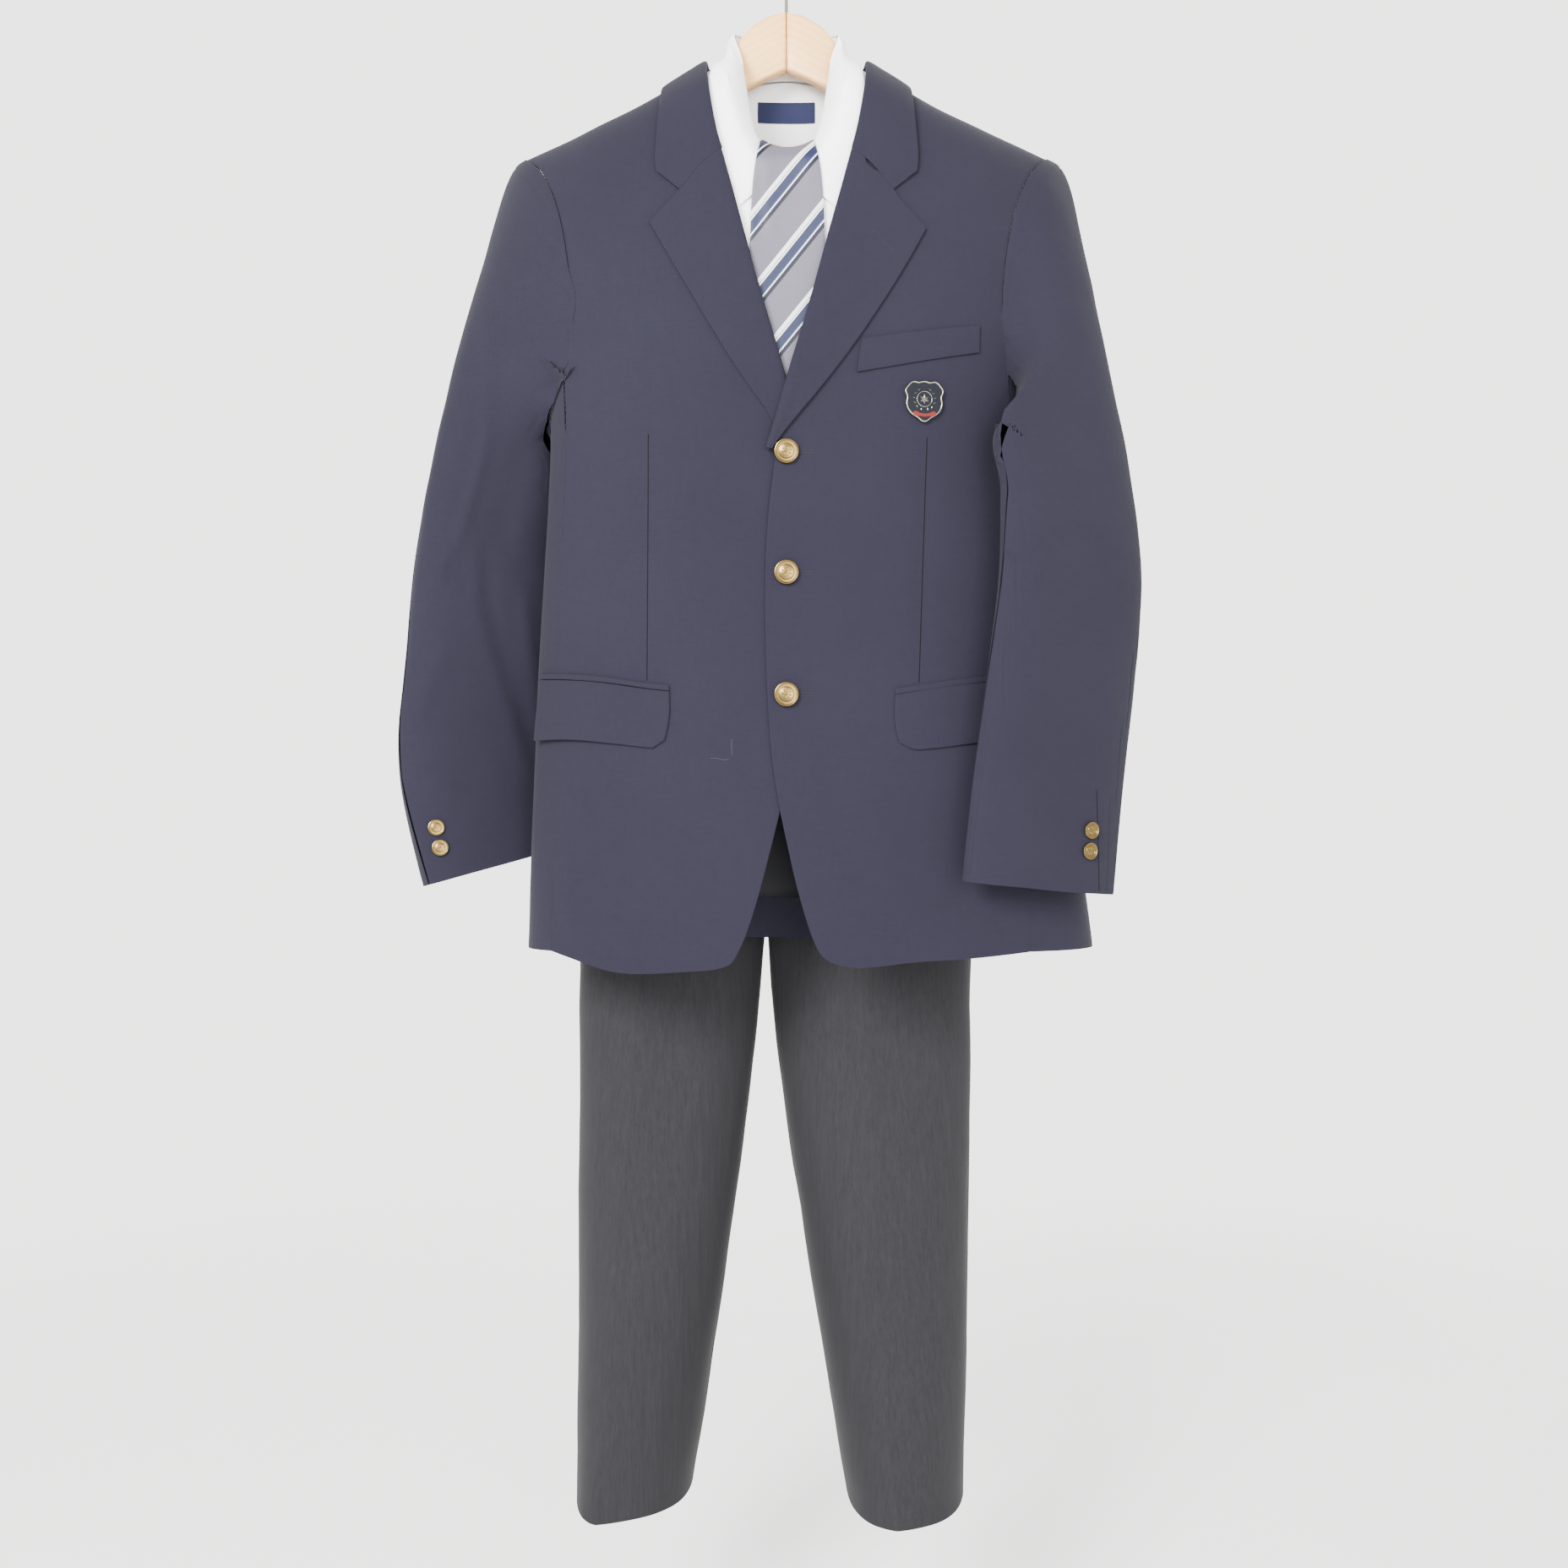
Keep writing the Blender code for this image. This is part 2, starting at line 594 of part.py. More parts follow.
def collar():
    rows = mirrored(COLLAR, [0, 2, 5])
    at = curve(rows, knots=np.linspace(0, 1, len(rows)))

    def surface(s, t):
        neck_x, neck_below, fold_x, fold_below, rise, edge_x, edge_below = np.moveaxis(at(s), -1, 0)

        def fall(share, height):
            x, below = neck_x + (edge_x - neck_x) * share, neck_below + (edge_below - neck_below) * share
            return over(x, below, height + 0 * s)

        fold = over(fold_x, fold_below, 1.2 + 0 * s)
        fold[..., 2] += rise
        normal = unit(fall(0, 1) - fall(0, 0))
        up = unit(fold - fall(0.3, 0))
        out = unit(normal - up * (normal * up).sum(axis=-1, keepdims=True))
        neck = fall(0, -0.4) + up * 1.7
        inside = fold - (up + out) * COLLAR_FOLD
        outside = fold - (up - out) * COLLAR_FOLD
        lift = 1.4 * ease(abs(s - 0.5), 0.5, 0.4)  # the ends lie as low as the lapels
        leaf = [fall(0.38, 3.9 + lift), fall(0.7, 3.3 + lift), fall(1, 2.9 + lift)]
        stops = [neck, neck * 0.4 + inside * 0.6, inside, fold, outside, *leaf]
        return spans(COLLAR_PLACES, np.stack(stops), t)

    rows_t = [0, 0.22, 0.36, 0.41, 0.45, 0.49, 0.54, 0.70, 0.86, 1]
    sheet("jacket_collar", surface, np.linspace(0, 1, 25), rows_t, WOOL, "navy_wool", flip=True)


# ---------------------------------------------------------------- blazer: sleeves
# Sections of each sleeve from the armhole to the cuff.
#   share | outer edge x, y, z | inner edge x, y, z | half depth to the front, to the back
SLEEVES = {
    "right": np.array([
        (0.00, 229, 2, -194, 203, -12, -412, 58, 50),
        (0.03, 240, 2, -200, 206, -11, -414, 57, 50),
        (0.10, 252, 2, -237, 212, -5, -423, 52, 50),
        (0.20, 273, 2, -304, 214, 8, -438, 44, 46),
        (0.30, 290, 2, -360, 208, 24, -460, 36, 40),
        (0.40, 304, 0, -422, 199, 38, -492, 30, 34),
        (0.50, 317, -4, -485, 196, 44, -536, 26, 30),
        (0.60, 325, -8, -546, 198, 47, -588, 24, 28),
        (0.70, 331, -10, -612, 201, 50, -642, 23, 27),
        (0.80, 334, -12, -672, 203, 51, -696, 22, 26),
        (0.86, 343, -14, -713, 204, 51, -724, 22, 26),
        (0.92, 336, -16, -752, 205, 50, -754, 22, 26),
        (1.00, 316, -20, -829, 200, 42, -797, 22, 26),
    ], float),
    "left": np.array([
        (0.00, 229, 2, -194, 205, -12, -412, 58, 50),
        (0.03, 242, 0, -200, 211, -13, -413, 57, 48),
        (0.10, 250, -8, -236, 219, -30, -423, 50, 42),
        (0.20, 260, -22, -294, 214, -62, -433, 39, 32),
        (0.30, 267, -34, -356, 193, -92, -441, 29, 20),
        (0.40, 280, -42, -420, 178, -101, -462, 23, 15),
        (0.50, 293, -48, -487, 174, -105, -508, 20, 13),
        (0.60, 300, -52, -545, 175, -108, -556, 19, 12),
        (0.70, 299, -55, -600, 169, -110, -606, 19, 12),
        (0.80, 291, -57, -664, 162, -112, -664, 19, 12),
        (0.90, 282, -59, -733, 152, -114, -736, 19, 12),
        (1.00, 275, -60, -833, 143, -115, -819, 19, 12),
    ], float),
}
# Where the two sleeve seams run, as angles round the armhole and round the cuff.
BACK_SEAM = (-52, 22)
FRONT_SEAM = (140, 188)


def armhole(side_name, angle):
    """The armhole's loop: 0 at the shoulder's tip, 90 at the front, 180 under the arm."""
    side = SIDES[side_name]
    angle = (np.asarray(angle, float) + 180) % 360 - 180
    x, below = np.moveaxis(armhole_at(abs(angle)), -1, 0)
    point = over(side * x, below * np.where(angle < 0, -1, 1), 0 * x)
    s = (np.where(angle < 0, angle + 360, angle) - 140) / 80
    under = side_surface(side_name)(np.clip(s, 0, 1), np.ones_like(s))
    return np.where((abs(angle) > 140)[..., None], under, point)


def sleeve_fade(share):
    """How much of the armhole's own shape a sleeve still has."""
    return 1 - ease(share, 0, 0.30)


def sleeve_ring(side_name, shrink=1):
    """The sleeve's section at a share of its length, by the angle round it."""
    side = SIDES[side_name]
    table = SLEEVES[side_name]
    at = curve(table[:, 1:], knots=table[:, 0])

    def ring(angle, share):
        row = at(share)
        outer, inner = row[..., 0:3] * [side, 1, 1], row[..., 3:6] * [side, 1, 1]
        centre, arm = (outer + inner) / 2, (outer - inner) / 2
        forward = np.broadcast_to([0.0, -1.0, 0.0], arm.shape)
        along = unit(arm)
        forward = unit(forward - along * (forward * along).sum(axis=-1, keepdims=True))
        a = np.radians(angle)
        depth = np.where(np.sin(a) > 0, row[..., 6], row[..., 7])
        power = 2 / 2.3
        c = np.sign(np.cos(a)) * abs(np.cos(a)) ** power
        n = np.sign(np.sin(a)) * abs(np.sin(a)) ** power
        return centre + (arm * c[..., None] + forward * (depth * n)[..., None]) * shrink

    return ring


def sleeve_surface(side_name):
    """The sleeve's point at an angle round it and a share of its length, starting on the armhole."""
    ring = sleeve_ring(side_name)

    def surface(angle, share):
        angle, share = np.broadcast_arrays(np.asarray(angle, float), np.asarray(share, float))
        gap = armhole(side_name, angle) - ring(angle, 0 * share)
        return ring(angle, share) + gap * sleeve_fade(share)[..., None]

    return surface


SLEEVE_SEAM = 1.5  # curved seams keep a wider gap, since the rows on their two sides differ
SLEEVE_ROWS = [0, 0.025, 0.07, 0.14, 0.22, 0.31, 0.41, 0.52, 0.63, 0.74, 0.84, 0.92, 1]
TOP_ANGLES = [-52, -32, -18, -9, -3, 0, 3, 9, 18, 32, 52, 74, 96, 118, 140]


def sleeve(side_name):
    whole = sleeve_surface(side_name)
    # the under sleeve's angles follow the back armhole, the side panel's top and the front one
    under_angles = 140 + 80 * np.array(SIDE_COLUMNS)
    under_angles = np.concatenate([under_angles, 360 - ARMHOLE[-2:4:-1, 0]])

    def panel(first, last):
        def surface(s, t):
            low = first[0] + (last[0] - first[0]) * s
            high = first[1] + (last[1] - first[1]) * s
            return whole(low + (high - low) * t, t)

        return surface

    def shares(angles):
        angles = np.asarray(angles, float)
        return (angles - angles[0]) / (angles[-1] - angles[0])

    top = panel(BACK_SEAM, FRONT_SEAM)
    under = panel(FRONT_SEAM, (BACK_SEAM[0] + 360, BACK_SEAM[1] + 360))
    for kind, surface, angles in (("top", top, TOP_ANGLES), ("under", under, under_angles)):
        sheet(
            f"jacket_sleeve_{kind}_{side_name}", surface, shares(angles), SLEEVE_ROWS, WOOL, "navy_wool",
            flip=SIDES[side_name] < 0, past_edges=True, gap=SLEEVE_SEAM,
        )


# ---------------------------------------------------------------- blazer: pockets, buttons, badge
# Pocket flaps as (outward x, z): the inner edge and the bottom run to the outer edge.
FLAP_INNER = {
    "left": [(109, -712), (100, -711), (92.5, -705), (90, -666)],
    "right": [(116, -710), (106, -709.5), (99, -700), (97, -663)],
}
FLAP_BOTTOM = {
    "left": [(109, -712), (138, -709), (156, -706), (190, -703), (216, -701)],
    "right": [(116, -710), (150, -706), (172, -703.5), (195, -703), (210, -703.5)],
}
FLAP_TOP = {
    "left": [(90, -666), (109, -663), (164, -655.5), (195, -651.5), (216, -650)],
    "right": [(97, -663), (116, -661), (150, -655.5), (190, -652), (210, -651)],
}
FLAP_FLARE = {"left": 1.5, "right": 5}  # how far the lower outer corner stands off
FLAP_HEIGHT = 2.2
POCKET_WELT = 5  # the strip above a flap
BREAST_WELT = [(58, -399), (161, -379), (62, -371), (161, -356)]  # low inner and outer, high inner and outer


def wrapped(side, x, z, height):
    """A point of the body at outward x, raised, right up to where the body turns side on."""
    middle, half, _, _ = section(z, 0)
    turn = np.arccos(np.clip((x - side * middle) / half, 0, 1) ** (SQUARENESS / 2))

    def at(turn, z):
        middle, half, front_y, _ = section(z, 0)
        across = middle + side * half * np.cos(turn) ** (2 / SQUARENESS)
        return np.stack([across, SIDE_Y + (front_y - SIDE_Y) * np.sin(turn) ** (2 / SQUARENESS), z], axis=-1)

    e = 1e-3
    normal = unit(np.cross(at(turn + e, z) - at(turn - e, z), at(turn, z + e) - at(turn, z - e)))
    return at(turn, z) - side * normal * np.asarray(height, float)[..., None]


def pocket(side_name):
    side = SIDES[side_name]
    inner, bottom, top = (curve(table[side_name]) for table in (FLAP_INNER, FLAP_BOTTOM, FLAP_TOP))
    flat = patch(inner, curve([bottom(1), top(1)]), bottom, top)

    def flap(s, t):
        x, z = np.moveaxis(flat(s, t), -1, 0)
        return wrapped(side, x, z, FLAP_HEIGHT + FLAP_FLARE[side_name] * s**2 * (1 - t))

    def welt(s, t):
        x, z = np.moveaxis(top(s), -1, 0)
        return wrapped(side, x, z + POCKET_WELT * t, FLAP_HEIGHT + 0 * t)

    flip = side < 0
    across = [0, 0.07, 0.2, 0.35, 0.5, 0.65, 0.8, 0.92, 1]
    sheet(f"jacket_flap_{side_name}", flap, across, [0, 0.08, 0.3, 0.65, 1], WOOL, "navy_wool", flip)
    sheet(f"jacket_pocket_welt_{side_name}", welt, across, [0, 1], WOOL, "navy_wool", flip)


def breast_welt():
    low_inner, low_outer, high_inner, high_outer = np.array(BREAST_WELT, float)

    def surface(s, t):
        s_, t_ = s[..., None], t[..., None]
        x, z = np.moveaxis(
            (1 - t_) * ((1 - s_) * low_inner + s_ * low_outer) + t_ * ((1 - s_) * high_inner + s_ * high_outer), -1, 0
        )
        return front(1, x, z, FLAP_HEIGHT + 0 * x)

    sheet("jacket_breast_welt", surface, np.linspace(0, 1, 7), [0, 0.5, 1], WOOL, "navy_wool")


BUTTON_PROFILE = [(0, 0), (3, 0), (3, 1.4), (9.6, 1.6), (10.25, 2.6), (9.5, 3.8), (8.4, 3.5), (6, 4.3), (0, 5)]
FRONT_BUTTONS = [-465, -565, -666]  # heights of the front buttons, on the centre line
BUTTON_GAP = 0.4
CUFF_SCALE = 0.7  # a cuff button over a front button
# Two cuff buttons a sleeve: angle round the sleeve, share of its length.
CUFF_BUTTONS = {"right": [(48, 0.951), (47, 0.970)], "left": [(65, 0.948), (65, 0.965)]}
BADGE = (114, -421)
BADGE_THICKNESS, BADGE_GAP = 3, 0.7
# Half of the shield, from the top centre round to the point.
SHIELD = [(0, 16.5), (5, 15.5), (10, 16), (14.5, 12), (16.5, 8.5), (15, 3), (15.5, -4), (12.5, -10), (6, -14.5), (0, -18)]


def facing(point_at, x, z):
    """The surface's point at x, z and its outward normal."""
    place = point_at(x, z)
    normal = np.cross(point_at(x + 1, z) - point_at(x - 1, z), point_at(x, z + 1) - point_at(x, z - 1))
    return place, unit(normal)


def on_left_front(x, z):
    return front(1, np.array(float(x)), np.array(float(z)), 0.0)


def buttons():
    for i, z in enumerate(FRONT_BUTTONS):
        place, out = facing(on_left_front, 0, z)
        turned(f"jacket_button_{i + 1}", BUTTON_PROFILE, 16, place + out * BUTTON_GAP, out, "gilt")
    small = [(r * CUFF_SCALE, h * CUFF_SCALE) for r, h in BUTTON_PROFILE]
    for side_name, places in CUFF_BUTTONS.items():
        whole = sleeve_surface(side_name)
        for i, (angle, share) in enumerate(places):
            place = whole(angle, share)
            round_it = whole(angle + 1, share) - whole(angle - 1, share)
            out = unit(np.cross(round_it, whole(angle, share + 0.01) - whole(angle, share - 0.01)))
            out = out * np.sign((out * (place - (whole(0, share) + whole(180, share)) / 2)).sum())
            turned(f"jacket_cuff_button_{side_name}_{i + 1}", small, 12, place + out * BUTTON_GAP, out, "gilt")


def badge():
    place, out = facing(on_left_front, *BADGE)
    outline = SHIELD + [(-x, z) for x, z in SHIELD[-2:0:-1]]
    turn = Vector(-out).to_track_quat("Y", "Z").to_euler()
    plate("jacket_badge", outline, -BADGE_THICKNESS, BADGE_THICKNESS, "chrome", 0.6, place + out * BADGE_GAP, turn)


# ---------------------------------------------------------------- shirt
SHIRT_INSET, SHIRT_TOP = 9.5, 2.7  # the shirt's form inside the blazer's, and below its shoulders
SHIRT_HEM = -700
#   angle   x   below the shoulder line
SHIRT_ARMHOLE = [
    (0, 222, 0), (3, 221, 1.2), (9, 218, 5.5), (18, 211.5, 15), (32, 200, 34), (52, 187, 66), (74, 178, 108),
    (96, 173.5, 148), (118, 175, 178), (140, 181, 198), (160, 189, 209), (180, 196, 214),
]
YOKE_FRONT, YOKE_BACK = 23, 52  # angles where the yoke's seams meet the armhole
# The collar, from the centre front to the centre back.
#   neck seam x, below | fold x, y, z | edge x, below, height | 1 where it lies on the fronts
SHIRT_COLLAR = np.array([
    (0.8, 134.9, 1.0, -57.5, -208.5, 46, 154.5, 2.6, 1),
    (12, 131, 12, -56.5, -207, 53, 134, 2.6, 1),
    (26, 122.4, 23, -53, -202.5, 60, 112.6, 2.7, 1),
    (40, 90.4, 31, -45, -176.5, 66, 70.6, 3.2, 1),
    (48, 53.8, 36, -32, -142.5, 65, 34.5, 3.4, 1),
    (51.5, 22, 41, -20, -110, 62, 17, 3.4, 1),
    (52.8, 5, 45, -9, -90, 60, 6, 3.6, 0.9),
    (53, 0, 46.5, -2, -84, 59, 0, 4.2, 0.8),
    (51.5, -4, 47, 5, -80, 56.5, -6, 5, 0.6),
    (46, -10.5, 42, 16, -77, 50, -13, 6.5, 0.3),
    (27, -17.5, 25, 26, -75, 27.5, -18.5, 7.5, 0),
    (0, -19, 0, 29, -74.5, 0, -20, 7.5, 0),
], float)
SHIRT_SLEEVE = 0.11  # share of the blazer's sleeve that the short sleeve reaches
SHIRT_SHRINK = 0.72


def shirt(x, z, height=0.0, back=False):
    return raised(x, z, height + 0 * np.asarray(x, float), back, SHIRT_INSET, SHIRT_TOP)


def shirt_over(x, below, height):
    return over(x, below, height + 0 * x, SHIRT_INSET, SHIRT_TOP)


def shirt_z(x, below):
    return shoulder(abs(x)) - SHIRT_TOP - abs(below)


def side_x(side, z):
    """Where the shirt's side seam runs, at the section's widest."""
    middle, half, _, _ = section(z, SHIRT_INSET)
    return half + side * middle


def shirt_arm(side):
    """The armhole's outward x and its distance below the shoulder line, by the angle round it."""
    rows = np.array(SHIRT_ARMHOLE, float)
    rows[-1, 1] = side_x(side, shirt_z(*rows[-1, 1:]))
    return curve(rows[:, 1:], knots=rows[:, 0])


def arm_edge(side, last):
    """A shirt panel's outer edge: the side seam, then the armhole up to an angle."""
    arm = shirt_arm(side)
    underarm = shirt_z(*arm(180.0))

    def seam(t):
        z = SHIRT_HEM + (underarm - SHIRT_HEM) * t
        return np.stack([side_x(side, z), z], axis=-1)

    def hole(t):
        x, below = np.moveaxis(arm(180 + (last - 180) * t), -1, 0)
        return np.stack([x, shirt_z(x, below)], axis=-1)

    return chain(seam, hole, 0.5)


SHIRT_ROWS = [0, 0.25, 0.5, 0.57, 0.65, 0.71, 0.77, 0.83, 0.88, 0.93, 0.97, 1]


def shirt_front(side_name):
    side = SIDES[side_name]
    neck = [(x, shirt_z(x, below)) for x, below in SHIRT_COLLAR[:6, :2]]
    neck[0] = (0.0, neck[0][1])
    inner = chain(curve([(0.0, SHIRT_HEM), (0.0, -460.0), neck[0]]), curve(neck), 0.65)
    outer = arm_edge(side, YOKE_FRONT)
    hem = curve([inner(0), outer(0)])
    (x0, below0), (x1, below1) = SHIRT_COLLAR[5, :2], shirt_arm(side)(float(YOKE_FRONT))

    def top(s):
        s = np.asarray(s, float)
        x = x0 + (x1 - x0) * s
        return np.stack([x, shirt_z(x, below0 + (below1 - below0) * s)], axis=-1)

    flat = patch(inner, outer, hem, top)

    def surface(s, t):
        x, z = np.moveaxis(flat(s, t), -1, 0)
        return shirt(side * x, z)

    across = [0, 0.05, 0.13, 0.28, 0.48, 0.70, 0.92, 0.988, 1]
    sheet(f"shirt_front_{side_name}", surface, across, SHIRT_ROWS, COTTON, "white_cotton", side < 0)


def shirt_back():
    right, left = arm_edge(-1, YOKE_BACK), arm_edge(1, YOKE_BACK)

    def flat(s, t):
        low, high = right(t) * [-1, 1], left(t)
        return low + (high - low) * s[..., None]

    def surface(s, t):
        x, z = np.moveaxis(flat(s, t), -1, 0)
        return form(x, z, True, SHIRT_INSET, SHIRT_TOP)

    across = [0, 0.012, 0.08, 0.28, 0.5, 0.72, 0.92, 0.988, 1]
    sheet("shirt_back", surface, across, SHIRT_ROWS, COTTON, "white_cotton", flip=True)


YOKE_NECK = [
    (0, 51.5, 22), (0.04, 52, 17), (0.112, 52.7, 8), (0.16, 52.95, 2), (0.184, 53, 0), (0.208, 52.7, -1), (0.256, 51.7, -3.5),
    (0.328, 49.5, -7), (0.44, 46, -10.5), (0.6, 38, -14.5), (0.7, 29, -17), (0.8, 19.5, -18.3), (0.9, 9.7, -18.9), (1, 0, -19),
]
YOKE_CORNER = 0.6  # where along the half yoke its outer edge turns from the armhole to the back seam


def yoke():
    neck_rows = np.array(YOKE_NECK, float)
    neck = curve(neck_rows[:, 1:], knots=neck_rows[:, 0])
    arm = shirt_arm(1)
    corner_x, corner_below = arm(float(YOKE_BACK))
    seam_z = shirt_z(corner_x, corner_below)

    def surface(s, t):
        half, side = 1 - abs(1 - 2 * s), np.where(s < 0.5, 1, -1)
        angle = YOKE_FRONT - (YOKE_FRONT + YOKE_BACK) * np.clip(half / YOKE_CORNER, 0, 1)
        x, below = np.moveaxis(arm(abs(angle)), -1, 0)
        below = below * np.where(angle < 0, -1, 1)
        seam_x = corner_x * (1 - np.clip((half - YOKE_CORNER) / (1 - YOKE_CORNER), 0, 1))
        x = np.where(half > YOKE_CORNER, seam_x, x)
        below = np.where(half > YOKE_CORNER, seam_z + SHIRT_TOP - shoulder(seam_x), below)
        neck_x, neck_below = np.moveaxis(neck(half), -1, 0)
        x, below = neck_x + (x - neck_x) * t, neck_below + (below - neck_below) * t
        return shirt_over(side * x, below, 0)

    rows = np.array([row[0] for row in YOKE_NECK]) / 2
    rows = np.concatenate([rows, 1 - rows[-2::-1]])
    sheet("shirt_yoke", surface, rows, [0, 0.18, 0.36, 0.56, 0.8, 1], COTTON, "white_cotton", flip=True, gap=SLEEVE_SEAM)


def shirt_sleeve(side_name):
    side = SIDES[side_name]
    arm = shirt_arm(side)
    ring = sleeve_ring(side_name, SHIRT_SHRINK)

    def surface(s, t):
        angle = 360 * s - 180
        x, below = np.moveaxis(arm(abs(angle)), -1, 0)
        hole = shirt_over(side * x, below * np.where(angle < 0, -1, 1), 0)
        share = t * SHIRT_SLEEVE
        return ring(angle, share) + (hole - ring(angle, 0 * t)) * sleeve_fade(share)[..., None]

    angles = np.array([0, 9, 23, 52, 85, 115, 145, 180.0])
    across = (np.concatenate([-angles[:0:-1], angles]) + 180) / 360
    name = f"shirt_sleeve_{side_name}"
    sheet(name, surface, across[:-1], [0, 0.3, 0.65, 1], COTTON, "white_cotton", side < 0, closed=True, gap=SLEEVE_SEAM)


FOLD_DEPTH = 3.5  # from the fold's line out to the leaf's outer face
STAND_INSET = 0.9  # from the fold's line in to the stand's outer face
LEAF_PLACES = np.array([0, 0.06, 0.14, 0.30, 0.45, 0.72, 1])


def shirt_collar():
    rows = mirrored(SHIRT_COLLAR, [0, 2, 5])
    at = curve(rows, knots=np.linspace(0, 1, len(rows)))

    def frame(s):
        neck_x, below, fold_x, fold_y, fold_z, edge_x, edge_below, edge_height, lies = np.moveaxis(at(s), -1, 0)
        fold = np.stack([fold_x, fold_y, fold_z], axis=-1)
        neck = shirt_over(neck_x, below, 0)
        normal = unit(shirt_over(neck_x, below, 1) - neck)
        up = unit(fold - neck)
        e = 1e-3
        run = (at(np.clip(s + e, 0, 1)) - at(np.clip(s - e, 0, 1)))[..., 2:5]
        out = unit(np.cross(run, up))

        def fall(share):
            x, drop = neck_x + (edge_x - neck_x) * share, below + (edge_below - below) * share
            return shirt_over(x, drop, FOLD_DEPTH + (edge_height - FOLD_DEPTH) * share)

        over_seam = neck + unit(out + normal) * 3.5
        return neck, fold, up, out, over_seam, fall, lies[..., None]

    def stand(s, t):
        neck, fold, up, out, *_ = frame(s)
        low, top = neck + up * 1.7 - out * STAND_INSET, fold - up * 1.8 - out * STAND_INSET
        return low + (top - low) * t[..., None]

    def leaf(s, t):
        neck, fold, up, out, over_seam, fall, lies = frame(s)
        inside = fold + up * 0.9 - out * 0.9
        top = fold + up * 1.2 + out * 0.5
        outside = fold + out * FOLD_DEPTH - up * 1.8
        edge = fall(1.0)
        middle = over_seam * lies + (outside + edge + out) / 2 * (1 - lies)
        lower = fall(0.5) * lies + (middle + edge) / 2 * (1 - lies)
        halfway = (outside + middle) / 2 + out * 1.2
        return spans(LEAF_PLACES, np.stack([inside, top, outside, halfway, middle, lower, edge]), t)

    half = np.array([0, 1, 2, 3, 3.5, 4, 4.5, 5, 6, 7, 8, 9, 10, 11]) / (len(rows) - 1)
    columns = np.concatenate([half, 1 - half[-2::-1]])
    sheet("shirt_collar_stand", stand, columns, [0, 0.5, 1], COTTON, "white_cotton")
    sheet("shirt_collar_leaf", leaf, columns, LEAF_PLACES, COTTON, "white_cotton", flip=True)


LABEL_HALF, LABEL_TOP, LABEL_HEIGHT = 26, -129, 17


def label():
    def surface(s, t):
        return shirt(LABEL_HALF * (2 * s - 1), LABEL_TOP - LABEL_HEIGHT * t, -COTTON - 1.0, True)

    sheet("shirt_label", surface, np.linspace(0, 1, 6), [0, 0.5, 1], COTTON, "woven_label")


# ---------------------------------------------------------------- tie
# Along the strip, from the end inside the shirt over the neckband and down to the tip.
#   y, z of the middle, half width, and how far the sides go back and up
TIE = np.array([
    (-70, -620, 17, 0, 0),
    (-70, -430, 19, 0, 0),
    (-69, -300, 20.5, 0, 0),
    (-62, -240, 22, 1, 1),
    (-52.5, -216, 22, 4.5, 6),
    (-50.0, -208, 21.5, 6.5, 9),
    (-57.8, -202.8, 21.5, 4.5, 10),
    (-65, -205.3, 22.4, 4, 9),
    (-76, -212, 24, 1.2, 4),
    (-79.7, -222, 27.2, 0.5, 0),
    (-79.3, -240, 29.3, 0.3, 0),
    (-79.2, -262, 30.6, 0.3, 0),
    (-78.4, -290, 31.3, 0.3, 0),
    (-78.2, -330, 33, 0.3, 0),
    (-79, -430, 37, 0.3, 0),
    (-79.5, -540, 39, 0.3, 0),
    (-80.4, -624, 39, 0.3, 0),
    (-80.7, -660, 0.8, 0, 0),
], float)
TIE_CENTRE = 0.8  # it hangs a little to the wearer's left


def tie():
    rows = np.linspace(0, 1, len(TIE))
    at = curve(TIE, knots=rows)

    def surface(s, t):
        y, z, half, back, up = np.moveaxis(at(t), -1, 0)
        s = 2 * s - 1
        return np.stack([TIE_CENTRE + half * s, y + back * s**2, z + up * s**2], axis=-1)

    sheet("tie", surface, [0, 0.2, 0.5, 0.8, 1], rows, SILK, "striped_silk", flip=True)


# ---------------------------------------------------------------- trousers
# Sections of each leg with its half of the seat.
#   z | inner x, outer x, crease x | front y, inner edge y in front, outer edge y, inner edge y behind, back y
TROUSERS = {
    "right": np.array([
        (-371.3, -10, -204, -107, 71, 72, 79, 86, 87),
        (-480, -10, -202, -108, 63, 66, 92, 128, 132),
        (-560, -10, -198, -108, 60, 61, 98, 150, 156),
        (-600, -10, -197, -108, 60.5, 72, 99, 140, 160),
        (-625, -10.2, -196.5, -108, 61, 88, 100, 120, 163),
        (-640, -11.2, -196, -108, 62, 100, 100, 100, 165),
        (-780, -17, -193, -118, 45, 95, 95, 95, 165),
        (-905, -19.6, -191, -130, 32, 85, 85, 85, 165),
        (-1131, -48, -190, -146, 0, 72, 72, 72, 158),
        (-1265, -67, -190, -157, -18, 66, 66, 66, 150),
        (-1376, -85, -189, -164, -31, 60, 60, 60, 145),
    ], float),
    "left": np.array([
        (-371.3, -10, 188, 90, 71, 72, 79, 86, 87),
        (-480, -10, 186, 89, 63, 66, 92, 128, 132),
        (-560, -10, 183, 88, 60, 61, 98, 150, 156),
        (-600, -10, 181.5, 87, 60.5, 72, 99, 140, 160),
        (-625, -9.8, 181, 86.5, 61, 88, 100, 120, 163),
        (-640, -8.8, 180, 86, 62, 100, 100, 100, 165),
        (-780, -16, 175, 78, 44, 95, 95, 95, 165),
        (-905, -18.4, 171, 70.6, 30, 85, 85, 85, 165),
        (-1131, 13.4, 168, 77.3, 0, 70, 70, 70, 155),
        (-1265, 34.4, 164, 81.7, -16, 62, 62, 62, 145),
        (-1377, 53.5, 161, 94.7, -42, 55, 55, 55, 140),
    ], float),
}
